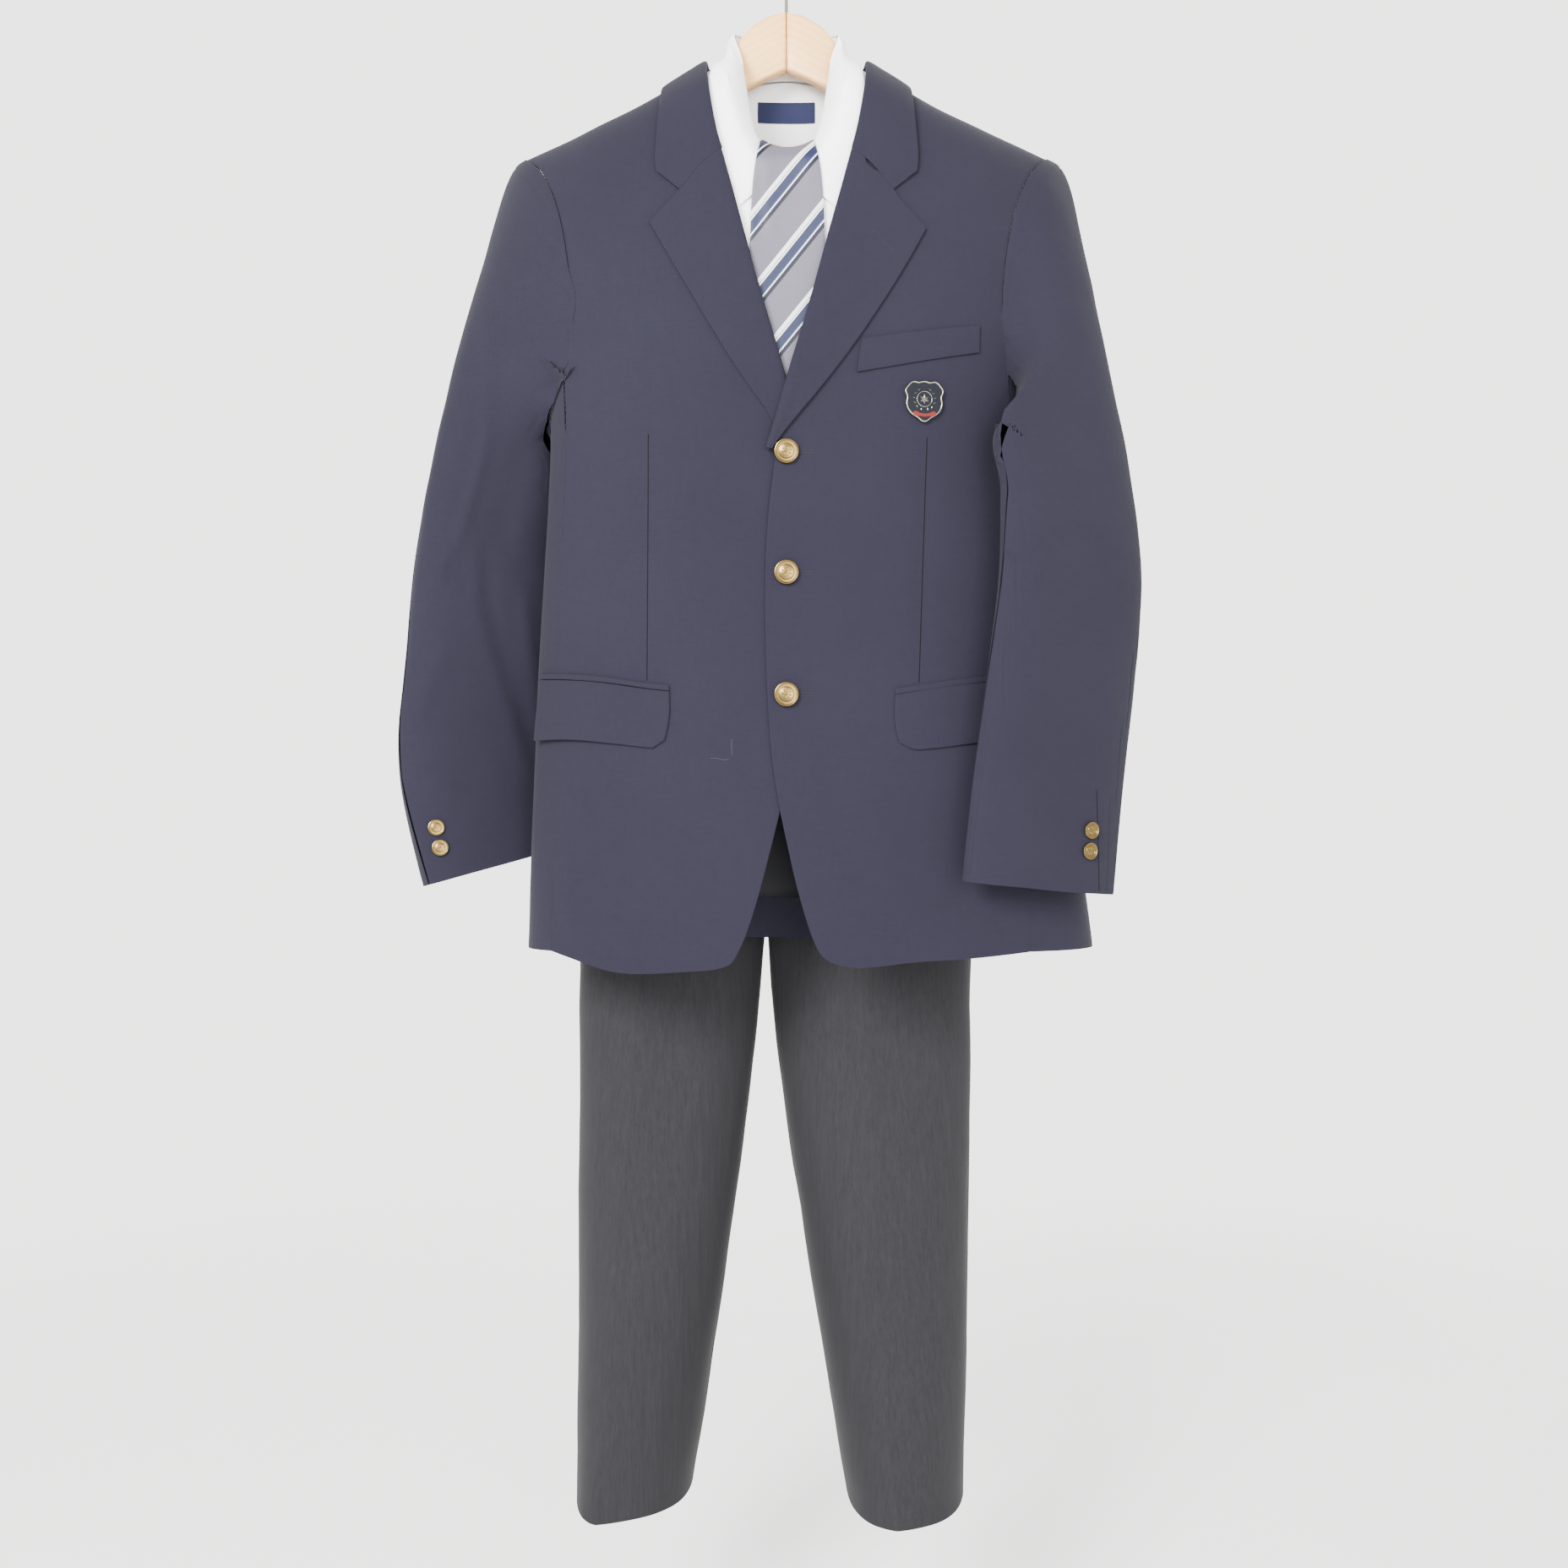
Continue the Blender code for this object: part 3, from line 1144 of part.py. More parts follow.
CROTCH_Z, SEAT_Z = -640, -560
CREASE = 3.0  # height of the pressed crease
LEG_COLUMNS = [0, 0.05, 0.16, 0.32, 0.455, 0.5, 0.545, 0.68, 0.84, 0.95, 1]
LEG_SQUARENESS = 2.4


def leg(side_name, back):
    table = TROUSERS[side_name]
    at = curve(table[:, 1:], knots=-table[:, 0])
    top, low = table[0, 0], table[-1, 0]

    def surface(s, t):
        z = top + (low - top) * t
        inner_x, outer_x, crease_x, front_y, inner_front, outer_y, inner_back, back_y = np.moveaxis(at(-z), -1, 0)
        seam_y = (inner_front + inner_back) / 2
        inner_front, inner_back = (np.where(z > CROTCH_Z, y, seam_y) for y in (inner_front, inner_back))
        inner_y, crease_y, way = (inner_back, back_y, 1) if back else (inner_front, front_y, -1)
        inside = s < 0.5
        q = np.where(inside, 2 * s, 2 - 2 * s)
        seam_x, seam_y = np.where(inside, inner_x, outer_x), np.where(inside, inner_y, outer_y)
        joined = np.where(inside, ease(z, CROTCH_Z, SEAT_Z), 0)  # the two legs are one tube above
        angle = q * math.pi / 2
        power = 2 / LEG_SQUARENESS
        x_share = (1 - np.cos(angle) ** power) * (1 - joined) + q * joined
        y_share = np.sin(angle) ** power * (1 - joined) + q * joined
        ridge = CREASE * np.clip(1 - (1 - q) / 0.12, 0, 1) * ease(z, SEAT_Z + 60, SEAT_Z - 60)
        x = seam_x + (crease_x - seam_x) * x_share
        y = seam_y + (crease_y - seam_y) * y_share + way * ridge
        return np.stack([x, y, z], axis=-1)

    rows = (np.array([top, -470, -560, -600, -625, -640, -700, -800, -905, -1050, -1210, low]) - top) / (low - top)
    name = f"trousers_{'back' if back else 'front'}_{side_name}"
    flip = (SIDES[side_name] > 0) != back
    sheet(name, surface, LEG_COLUMNS, rows, SERGE, "charcoal_wool", flip)


WAIST_TOP, WAIST_LOW = -332, -371
WAIST_Y, WAIST_DEPTH = 79, 7.5


def waistband():
    right, left = TROUSERS["right"][0, 2], TROUSERS["left"][0, 2]

    def surface(s, t):
        angle = math.tau * s
        c, n = np.cos(angle), np.sin(angle)
        x = (left + right) / 2 + (left - right) / 2 * np.sign(c) * abs(c) ** 0.7
        y = WAIST_Y + WAIST_DEPTH * np.sign(n) * abs(n) ** 0.7
        return np.stack([x, y, WAIST_LOW + (WAIST_TOP - WAIST_LOW) * t], axis=-1)

    sheet("trousers_waistband", surface, np.linspace(0, 1, 25)[:-1], [0, 1], SERGE, "charcoal_wool", closed=True)


FLY_LOW, FLY_TOP, FLY_X, FLY_WIDTH, FLY_ROUND = -545, -374, -9.5, 38, 30
WAIST_BUTTON = [(0, 0), (6.5, 0), (7.5, 0.8), (7.5, 2.2), (0, 2.2)]
WAIST_BUTTON_X = -6


def fly():
    """The fly's overlap on the wearer's left, and the waist button above it."""

    def surface(s, t):
        x = FLY_X + FLY_WIDTH * s
        z = FLY_LOW + (FLY_TOP - FLY_LOW) * t + FLY_ROUND * s**3 * (1 - t)
        y = np.interp(z, [-560, -470, -372], [58.2, 63.4, 69.4])
        return np.stack([x, y, z], axis=-1)

    sheet("trousers_fly", surface, np.linspace(0, 1, 6), np.linspace(0, 1, 6), SERGE, "charcoal_wool")
    place = (WAIST_BUTTON_X, WAIST_Y - WAIST_DEPTH - BUTTON_GAP, (WAIST_TOP + WAIST_LOW) / 2)
    turned("trousers_button", WAIST_BUTTON, 12, place, (0, -1, 0), "horn")


# ---------------------------------------------------------------- hangers
WOOD_TOP = [
    (0.15, -64.5), (15, -67), (30, -76), (39, -85.5), (43, -92), (46, -105), (50, -115), (58, -120.7), (72, -127.2),
    (85, -134.4), (100, -142.4), (130, -159), (160, -172), (186, -184.5), (202, -191.8), (208, -195.8), (212, -199),
    (212, -205), (207, -209),
]
WOOD_LOW = [(160, -188), (100, -163), (72, -150), (55, -142), (37, -132), (18, -122), (0.15, -114.3)]
WOOD_HALF = 7  # half its thickness
HOOK_RADIUS, HOOK_WIRE = 18.5, 3
HOOK_CENTRE = -HOOK_RADIUS + HOOK_WIRE / 2
CLIP_HOOK_Y = 3.4  # the clip hanger's hook rests beside the wooden one's
ROD_Y, ROD_Z = WAIST_Y, -318
ROD_ENDS = (-130, 115)
CLIPS = (-100, 85)
CLIP_LOW, CLIP_JAW, CLIP_WIDTH = -357, 3, 32
METAL_GAP = 0.3


def hook_arc(y):
    """Round the rail from the stem's side, over the top, to the open end."""
    angles = np.radians(np.arange(-40, 211, 16.6))
    return [(HOOK_RADIUS * math.cos(a), y, HOOK_CENTRE + HOOK_RADIUS * math.sin(a)) for a in angles]


def hangers():
    for side_name, side in SIDES.items():
        outline = [(side * x, z) for x, z in WOOD_TOP + WOOD_LOW]
        plate(f"hanger_arm_{side_name}", outline, -WOOD_HALF, 2 * WOOD_HALF, "maple", 3)
    stem = [(0, 0, WOOD_TOP[0][1] + METAL_GAP), (0, 0, -50), (1, 0, -45), (4.5, 0, -39)]
    wire("hanger_hook", stem + hook_arc(0), HOOK_WIRE, "chrome")
    under = ROD_Z + HOOK_WIRE / 2 + METAL_GAP
    down = [(-7.5, ROD_Y, under), (-7.5, ROD_Y, -130), (-4, 77, -104), (0, 66, -85), (0, 34, -63),
            (0, 14, -51), (0.5, CLIP_HOOK_Y + 2, -46), (4.5, CLIP_HOOK_Y, -39)]
    wire("clip_hanger_wire", down + hook_arc(CLIP_HOOK_Y), HOOK_WIRE, "chrome")
    wire("clip_hanger_rod", [(x, ROD_Y, ROD_Z) for x in ROD_ENDS], HOOK_WIRE, "chrome")
    near, far = WAIST_Y - WAIST_DEPTH - METAL_GAP, WAIST_Y + WAIST_DEPTH + METAL_GAP
    clip = [(near - CLIP_JAW, CLIP_LOW), (near, CLIP_LOW), (near, under), (far, under), (far, CLIP_LOW),
            (far + CLIP_JAW, CLIP_LOW), (far + CLIP_JAW, under + CLIP_JAW), (near - CLIP_JAW, under + CLIP_JAW)]
    for i, x in enumerate(CLIPS):
        place = (x + CLIP_WIDTH / 2, 0, 0)
        plate(f"clip_hanger_clip_{i + 1}", clip, 0, CLIP_WIDTH, "chrome", 0.8, place, (0, 0, math.pi / 2))


if __name__ == "__main__":
    for thing in list(bpy.data.objects):
        bpy.data.objects.remove(thing)
    for name in SIDES:
        front_panel(name)
        back_panel(name)
        side_panel(name)
        lapel(name)
        sleeve(name)
    back_lining()
    collar()
    for name in SIDES:
        pocket(name)
        shirt_front(name)
        shirt_sleeve(name)
        leg(name, back=False)
        leg(name, back=True)
    breast_welt()
    buttons()
    badge()
    shirt_back()
    yoke()
    shirt_collar()
    label()
    tie()
    waistband()
    fly()
    hangers()
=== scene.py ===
"""The looks of a school uniform that hangs as a set: blazer, shirt, striped tie and trousers.

It is laid out as an add-on: the settings, one operator for each group of pieces, a panel,
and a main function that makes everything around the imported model. Lengths in the tables
are in millimetres. The wearer's left is at +X, and the front faces -Y.
"""

import math

import bmesh
import bpy
import numpy as np
from bpy.props import FloatProperty, FloatVectorProperty, IntProperty, PointerProperty
from mathutils import Matrix, Vector, noise
from mathutils.bvhtree import BVHTree
from mathutils.kdtree import KDTree


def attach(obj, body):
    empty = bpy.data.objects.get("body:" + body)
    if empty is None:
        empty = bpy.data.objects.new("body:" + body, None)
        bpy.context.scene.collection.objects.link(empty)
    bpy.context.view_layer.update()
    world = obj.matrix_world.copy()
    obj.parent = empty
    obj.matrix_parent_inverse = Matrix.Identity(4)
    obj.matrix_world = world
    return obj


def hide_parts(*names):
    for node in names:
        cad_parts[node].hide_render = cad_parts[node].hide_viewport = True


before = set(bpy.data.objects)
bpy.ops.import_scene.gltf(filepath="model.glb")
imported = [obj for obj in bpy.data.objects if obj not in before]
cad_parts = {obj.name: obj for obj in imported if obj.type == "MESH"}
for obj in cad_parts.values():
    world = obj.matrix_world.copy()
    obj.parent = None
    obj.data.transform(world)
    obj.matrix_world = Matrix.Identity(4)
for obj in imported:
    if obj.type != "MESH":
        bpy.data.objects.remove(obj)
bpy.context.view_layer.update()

bl_info = {
    "name": "School uniform",
    "version": (1, 0, 0),
    "blender": (4, 5, 0),
    "location": "View3D > Sidebar > Uniform",
    "description": "Dresses the hung blazer, shirt, tie and trousers",
    "category": "Object",
}

MM = 0.001
SIDES = {"left": 1, "right": -1}
FRONT, BACK = (0, -1, 0), (0, 1, 0)


# ---------------------------------------------------------------- settings
def colour(name, description, default):
    return FloatVectorProperty(
        name=name, description=description, subtype="COLOR", size=3, min=0, max=1, default=default
    )


def length(name, description, default):
    return FloatProperty(name=name, description=description, default=default, min=0, unit="LENGTH", precision=5)


class UniformCloth(bpy.types.PropertyGroup):
    serge: colour("Serge", "Lit threads of the blazer", (0.0125, 0.0112, 0.0205))
    serge_dark: colour("Serge, dark", "Threads of the blazer in the weave's shade", (0.0056, 0.0050, 0.0100))
    charcoal: colour("Charcoal", "Light threads of the trousers", (0.0190, 0.0186, 0.0210))
    charcoal_dark: colour("Charcoal, dark", "Dark threads of the trousers", (0.0076, 0.0074, 0.0086))
    cotton: colour("Cotton", "The shirt", (0.93, 0.93, 0.94))
    lining: colour("Lining", "The blazer's lining", (0.0032, 0.0032, 0.0050))
    label: colour("Label", "The neck label", (0.012, 0.016, 0.060))
    twill: length("Twill pitch", "From one diagonal of the serge to the next", 0.0009)
    ripple: length("Ripple", "How far hung cloth leaves its smooth form", 0.0006)
    detail: IntProperty(name="Detail", description="Subdivisions of the large panels", default=3, min=1, max=4)


class UniformTie(bpy.types.PropertyGroup):
    ground: colour("Ground", "Between the stripes", (0.108, 0.101, 0.130))
    ground_dark: colour("Ground, dark", "Between the stripes, in the twill's shade", (0.072, 0.068, 0.090))
    white: colour("White", "The stripes' pale lines", (0.70, 0.70, 0.72))
    blue: colour("Blue", "The wide stripe", (0.009, 0.013, 0.045))
    sky: colour("Sky", "The fine line beside it", (0.030, 0.060, 0.160))
    navy: colour("Navy", "The last stripe", (0.004, 0.005, 0.015))
    pitch: length("Stripe pitch", "From one group of stripes to the next, square to them", 0.03985)


class UniformHardware(bpy.types.PropertyGroup):
    gold: colour("Gold", "The buttons", (0.170, 0.115, 0.040))
    gold_dark: colour("Gold, dark", "The buttons' hollows", (0.035, 0.022, 0.008))
    silver: colour("Silver", "The badge's rim and hooks", (0.160, 0.145, 0.115))
    enamel: colour("Enamel", "The badge's field", (0.004, 0.005, 0.008))
    red: colour("Red", "The badge's ribbon", (0.12, 0.010, 0.008))
    wood: colour("Wood", "The hanger", (0.82, 0.48, 0.18))
    wood_dark: colour("Grain", "The hanger's grain", (0.64, 0.34, 0.135))
    button: length("Button", "Across a front button", 0.0205)
    cuff_button: length("Cuff button", "Across a cuff button", 0.01435)


class UniformStage(bpy.types.PropertyGroup):
    backdrop: colour("Backdrop", "The wall and the floor", (0.86, 0.86, 0.85))
    floor: FloatProperty(name="Floor", description="Height of the floor", default=-1.56, unit="LENGTH")
    walls: FloatProperty(name="Walls", description="Light from the pale walls all around", default=3.8, min=0)
    ceiling: FloatProperty(name="Ceiling", description="Light from straight above and below", default=1.0, min=0)
    key: FloatProperty(name="Key", description="Power of the main soft lamp", default=260, min=0, unit="POWER")


SETTINGS = {
    "uniform_cloth": UniformCloth, "uniform_tie": UniformTie, "uniform_hardware": UniformHardware,
    "uniform_stage": UniformStage,
}


def setting(group):
    """One of the groups of settings: cloth, tie, hardware or stage."""
    return getattr(bpy.context.scene, "uniform_" + group)


# ---------------------------------------------------------------- shaders
class Value:
    """A number, colour or vector in a material; arithmetic on it adds Math nodes."""

    def __init__(self, shader, socket):
        self.shader, self.socket = shader, socket

    def math(self, operation, *values):
        return self.shader.node("ShaderNodeMath", {"operation": operation}, dict(enumerate(values)))

    def __add__(self, other):
        return self.math("ADD", self, other)

    def __sub__(self, other):
        return self.math("SUBTRACT", self, other)

    def __rsub__(self, other):
        return self.math("SUBTRACT", other, self)

    def __mul__(self, other):
        return self.math("MULTIPLY", self, other)

    def __truediv__(self, other):
        return self.math("DIVIDE", self, other)

    def __lt__(self, other):
        return self.math("LESS_THAN", self, other)

    def __gt__(self, other):
        return self.math("GREATER_THAN", self, other)

    def __abs__(self):
        return self.math("ABSOLUTE", self)

    __radd__, __rmul__ = __add__, __mul__

    def sine(self):
        return self.math("SINE", self)

    def fraction(self):
        return self.math("FRACT", self)

    def between(self, low, high):
        return (self > low) * (self < high)


class Nodes:
    """A node tree, with the coordinates that its textures read."""

    def __init__(self, owner, surface, coordinates):
        owner.use_nodes = True
        self.tree = owner.node_tree
        self.surface = self.tree.nodes[surface]
        self.place = self.node("ShaderNodeTexCoord", out=coordinates)
        split = self.node("ShaderNodeSeparateXYZ", None, {0: self.place}).socket.node
        self.x, self.y, self.z = (Value(self, split.outputs[axis]) for axis in "XYZ")

    def node(self, kind, settings=None, values=None, out=0):
        made = self.tree.nodes.new(kind)
        for key, value in (settings or {}).items():
            if key == "stops":
                ramp = made.color_ramp
                ramp.elements.remove(ramp.elements[-1])
                for i, (place, tint) in enumerate(value):
                    stop = ramp.elements[0] if i == 0 else ramp.elements.new(place)
                    stop.position, stop.color = place, (*tint, 1)
            elif key == "interpolation":
                made.color_ramp.interpolation = value
            else:
                setattr(made, key, value)
        for key, value in (values or {}).items():
            if isinstance(value, Value):
                self.tree.links.new(value.socket, made.inputs[key])
            else:
                made.inputs[key].default_value = value
        return Value(self, made.outputs[out])

    def smoothstep(self, value, start, end):
        reach = {"Value": value, "From Min": start, "From Max": end}
        return self.node("ShaderNodeMapRange", {"interpolation_type": "SMOOTHSTEP"}, reach)

    def feed(self, socket, value):
        self.tree.links.new(value.socket, self.surface.inputs[socket])


class Shader(Nodes):
    """A material with one Principled BSDF, on Object coordinates."""

    def __init__(self, name, roughness, metallic=0.0, **constants):
        self.material = bpy.data.materials.new(name)
        super().__init__(self.material, "Principled BSDF", "Object")
        for socket, value in {"Roughness": roughness, "Metallic": metallic, **constants}.items():
            self.surface.inputs[socket].default_value = value

    def noise(self, scale, detail=2.0, roughness=0.5, stretch=(1, 1, 1)):
        place = self.node("ShaderNodeMapping", None, {"Vector": self.place, "Scale": stretch})
        return self.node(
            "ShaderNodeTexNoise", None, {"Vector": place, "Scale": scale, "Detail": detail, "Roughness": roughness}
        )

    def mix(self, factor, first, second):
        first, second = (v if isinstance(v, Value) else (*v, 1) for v in (first, second))
        return self.node("ShaderNodeMix", {"data_type": "RGBA"}, {0: factor, 6: first, 7: second}, 2)

    def bump(self, height, distance, strength=1.0):
        values = {"Height": height, "Distance": distance, "Strength": strength}
        self.feed("Normal", self.node("ShaderNodeBump", None, values))


DARTS = [((-115, -449), (-116, -654)), ((117, -452), (110, -656))]  # x, z at a dart's top and bottom
CUFF_VENT = ((256.5, -745), (259.4, -829))  # the seam above and below the left cuff's buttons


FRONT_Y = -0.045  # the seams drawn on the cloth lie in front of this


def seam_mask(shader, ends, half):
    """1 within half a width of a line on the front, given by x and z at its ends."""
    (x0, z0), (x1, z1) = np.array(ends) * MM
    line = x0 + (shader.z - z0) * ((x1 - x0) / (z1 - z0))
    return (abs(shader.x - line) < half * MM) * shader.z.between(z1, z0) * (shader.y < FRONT_Y)


def navy():
    """Serge: a fine steep twill, slubs along both threads, and the pressed darts and cuff vent, with painted shade
    along their seams.
    """
    cloth = setting("cloth")
    shader = Shader("navy_serge", 0.86, **{"Sheen Weight": 0.03, "Specular IOR Level": 0.12})
    twill = ((shader.x + shader.y + shader.z * 0.62) * (math.tau / cloth.twill)).sine() * 0.5 + 0.5
    slub = shader.noise(70, 3, 0.6, (9, 9, 1)) * 0.5 + shader.noise(70, 3, 0.6, (1, 1, 9)) * 0.5
    grain = shader.noise(1400, 2, 0.6)
    cloud = shader.noise(9, 3)
    weave = twill * 0.22 + slub * 0.55 + grain * 0.33 + (cloud - 0.5) * 0.35
    tint = shader.mix(weave, tuple(cloth.serge_dark), tuple(cloth.serge))
    darts = seam_mask(shader, DARTS[0], 0.45) + seam_mask(shader, DARTS[1], 0.45)
    # The dart and cuff-vent lines get painted shade, near-black, standing in for the shadow in their seams; the same
    # mask also sinks them in the bump.
    pressed = darts + seam_mask(shader, CUFF_VENT, 0.5)
    shader.feed("Base Color", shader.mix(pressed, tint, tuple(c * 0.25 for c in cloth.serge_dark)))
    shader.feed("Roughness", 0.80 + grain * 0.14)
    shader.bump(twill * 0.5 + grain * 0.6 - pressed * 3, 0.00022, 0.5)
    return shader.material


def charcoal():
    """Worsted with fine, uneven lines along its length."""
    cloth = setting("cloth")
    shader = Shader("charcoal_worsted", 0.84, **{"Sheen Weight": 0.03, "Specular IOR Level": 0.12})
    fine = shader.noise(60, 3, 0.7, (16, 16, 0.45))
    broad = shader.noise(60, 2, 0.5, (5, 5, 0.15))
    grain = shader.noise(1500, 2, 0.6)
    lines = fine * 0.9 + broad * 0.5 + grain * 0.35 - 0.42
    shader.feed("Base Color", shader.mix(lines, tuple(cloth.charcoal_dark), tuple(cloth.charcoal)))
    shader.feed("Roughness", 0.78 + grain * 0.14)
    shader.bump(fine * 0.7 + grain * 0.5, 0.0002, 0.5)
    return shader.material


def cotton():
    """Plain poplin."""
    cloth = setting("cloth")
    shader = Shader("white_poplin", 0.8, **{"Specular IOR Level": 0.3, "Sheen Weight": 0.1})
    threads = (shader.x * (math.tau / 0.0005)).sine() * (shader.z * (math.tau / 0.0005)).sine()
    grain = shader.noise(900, 2, 0.6)
    tint = tuple(cloth.cotton)
    shader.feed("Base Color", shader.mix(grain * 0.7 + threads * 0.12, tuple(c * 0.94 for c in tint), tint))
    shader.bump(threads * 0.4 + grain, 0.0001, 0.4)
    return shader.material


def lining():
    """Smooth twill lining with a low sheen."""
    tint = tuple(setting("cloth").lining)
    shader = Shader("twill_lining", 0.5, **{"Specular IOR Level": 0.15})
    lines = ((shader.x - shader.z) * (math.tau / 0.0011)).sine() * 0.5 + 0.5
    cloud = shader.noise(14, 3)
    shader.feed("Base Color", shader.mix(lines * 0.35 + cloud * 0.6, tint, tuple(c * 1.7 for c in tint)))
    shader.feed("Roughness", 0.38 + cloud * 0.18)
    shader.bump(lines, 0.0001, 0.35)
    return shader.material


STRIPE_ANGLE = math.radians(51)  # how steeply the stripes rise to the wearer's left
STRIPE_START = -0.1426  # a white stripe's upper edge, square to the stripes
# Widths down from a group's upper edge: where each begins, and its colour's setting.
STRIPES = [
    (0, "white"), (3.2, "navy"), (3.6, "white"), (4.9, "blue"), (11.0, "sky"), (11.5, "navy"), (11.8, "white"),
    (12.8, "navy"), (16.0, None),
]


def striped_twill():
    """Ribbed silk with groups of stripes."""
    tie = setting("tie")
    shader = Shader("striped_twill", 0.45, **{"Specular IOR Level": 0.3})
    across = shader.z * math.cos(STRIPE_ANGLE) - shader.x * math.sin(STRIPE_ANGLE)
    along = shader.x * math.cos(STRIPE_ANGLE) + shader.z * math.sin(STRIPE_ANGLE)
    rib = ((along + across * 0.3) * (math.tau / 0.00125)).sine() * 0.5 + 0.5
    cloud = shader.noise(26, 3)
    ground = shader.mix(rib * 0.55 + cloud * 0.45, tuple(tie.ground_dark), tuple(tie.ground))
    share = ((STRIPE_START - across) / tie.pitch).fraction()
    stops = [(start * MM / tie.pitch, tuple(getattr(tie, key)) if key else (0, 0, 0)) for start, key in STRIPES]
    stripes = shader.node("ShaderNodeValToRGB", {"stops": stops, "interpolation": "CONSTANT"}, {0: share})
    ribbed = shader.mix(rib * 0.28, stripes, tuple(tie.navy))
    shader.feed("Base Color", shader.mix(share > STRIPES[-1][0] * MM / tie.pitch, ribbed, ground))
    shader.feed("Roughness", 0.34 + rib * 0.16)
    shader.bump(rib, 0.00018, 0.55)
    return shader.material


def woven_label():
    """Fine satin weave."""
    tint = tuple(setting("cloth").label)
    shader = Shader("woven_label", 0.6, **{"Specular IOR Level": 0.2})
    threads = (shader.z * (math.tau / 0.00045)).sine() * 0.5 + 0.5
    grain = shader.noise(900, 2)
    shader.feed("Base Color", shader.mix(threads * 0.4 + grain * 0.5, tuple(c * 0.6 for c in tint), tint))
    shader.bump(threads, 0.00012, 0.5)
    return shader.material


def thread(name, tint, lift=1.0):
    """Glossy twisted sewing thread."""
    shader = Shader(name, 0.6, **{"Specular IOR Level": 0.2})
    strand = shader.noise(1800, 2)
    dark, light = (tuple(c * lift * share for c in tint) for share in (0.7, 1.3))
    shader.feed("Base Color", shader.mix(strand, dark, light))
    shader.bump(strand, 0.0001, 0.5)
    return shader.material


def maple():
    """Pale wood under clear lacquer, its grain along the arm."""
    hardware = setting("hardware")
    shader = Shader("lacquered_maple", 0.42, **{"Coat Weight": 0.12, "Coat Roughness": 0.15})
    slope = 0.55  # the arms run down from the centre at this slope
    level = shader.z + abs(shader.x) * slope
    wander = shader.noise(10, 3, 0.55, (1, 1, 2.5))
    rings = ((level + wander * 0.012 + shader.y * 0.35) * (math.tau / 0.0075)).sine() * 0.5 + 0.5
    pores = shader.noise(260, 3, 0.6, (0.10, 1, 1))
    grain = rings * 0.30 + pores * 0.45 + wander * 0.35 - 0.15
    tint = shader.mix(grain, tuple(hardware.wood), tuple(hardware.wood_dark))
    mitre = (abs(shader.x) < 0.0004) * 0.8
    shader.feed("Base Color", shader.mix(mitre, tint, tuple(c * 0.35 for c in hardware.wood_dark)))
    shader.feed("Roughness", 0.30 + pores * 0.22)
    shader.bump(pores, 0.0001, 0.3)
    return shader.material


def metal(name, bright, dark, roughness, scratch=900):
    """Plated metal with fine wear."""
    shader = Shader(name, roughness, 1.0)
    fine, cloud = shader.noise(scratch, 3, 0.6), shader.noise(60, 3)
    shader.feed("Base Color", shader.mix(fine * 0.35 + cloud * 0.3 - 0.1, tuple(bright), tuple(dark)))
    shader.feed("Roughness", roughness * (0.65 + 0.7 * cloud))
    shader.bump(fine, 0.00004, 0.35)
    return shader.material


def enamel(name, tint):
    """Hard glossy enamel with a slight orange-peel."""
    shader = Shader(name, 0.3, **{"Specular IOR Level": 0.06})
    peel = shader.noise(500, 2)
    shader.feed("Base Color", shader.mix(peel, tuple(c * 0.8 for c in tint), tuple(c * 1.2 for c in tint)))
    shader.bump(peel, 0.00005, 0.3)
    return shader.material


def horn():
    """Dark mottled horn."""
    shader = Shader("dark_horn", 0.3, **{"Coat Weight": 0.3})
    cloud = shader.noise(220, 3, 0.6)
    shader.feed("Base Color", shader.mix(cloud, (0.004, 0.0035, 0.003), (0.020, 0.016, 0.012)))
    shader.bump(cloud, 0.00006, 0.3)
    return shader.material


MAKERS = {
    "navy": navy, "charcoal": charcoal, "cotton": cotton, "lining": lining, "silk": striped_twill,
    "label": woven_label,
    "maple": maple, "horn": horn,
    "gold": lambda: metal(
        "pale_gold", setting("hardware").gold, setting("hardware").gold_dark, 0.26
    ),
    "silver": lambda: metal("bright_plate", setting("hardware").silver, (0.12, 0.12, 0.12), 0.22),
    "enamel": lambda: enamel("dark_enamel", setting("hardware").enamel),
    "red": lambda: enamel("red_enamel", setting("hardware").red),
    "navy_thread": lambda: thread("navy_thread", setting("cloth").serge, 0.9),
    "pale_thread": lambda: thread("pale_thread", (0.045, 0.045, 0.052)),
}
looks = {}


def look(name):
    if name not in looks:
        looks[name] = MAKERS[name]()
    return looks[name]


# ---------------------------------------------------------------- modelling helpers
def deselect():
    if bpy.context.object and bpy.context.object.mode != "OBJECT":
        bpy.ops.object.mode_set(mode="OBJECT")
    bpy.ops.object.select_all(action="DESELECT")


def alone(piece):
    deselect()
    piece.select_set(True)
    bpy.context.view_layer.objects.active = piece


def settle(piece, name, look_name, slot, *nodes, smooth=40):
    """Names a finished piece, gives it its look, and hides the solids it stands for; the record slot is not used."""
    alone(piece)
    bpy.ops.object.transform_apply(location=True, rotation=True, scale=True)
    piece.name = piece.data.name = name
    piece.data.materials.clear()
    piece.data.materials.append(look(look_name))
    bpy.ops.object.shade_smooth_by_angle(angle=math.radians(smooth))
    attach(piece, "root")
    if nodes:
        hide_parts(*nodes)
    return piece


def modify(piece, kind, **settings):
    alone(piece)
    modifier = piece.modifiers.new(kind.title(), kind)
    for key, value in settings.items():
        setattr(modifier, key, value)
    bpy.ops.object.modifier_apply(modifier=modifier.name)


def joined(name, parts):
    alone(parts[0])
    for part in parts[1:]:
        part.select_set(True)
    bpy.ops.object.join()
    parts[0].name = name
    return parts[0]


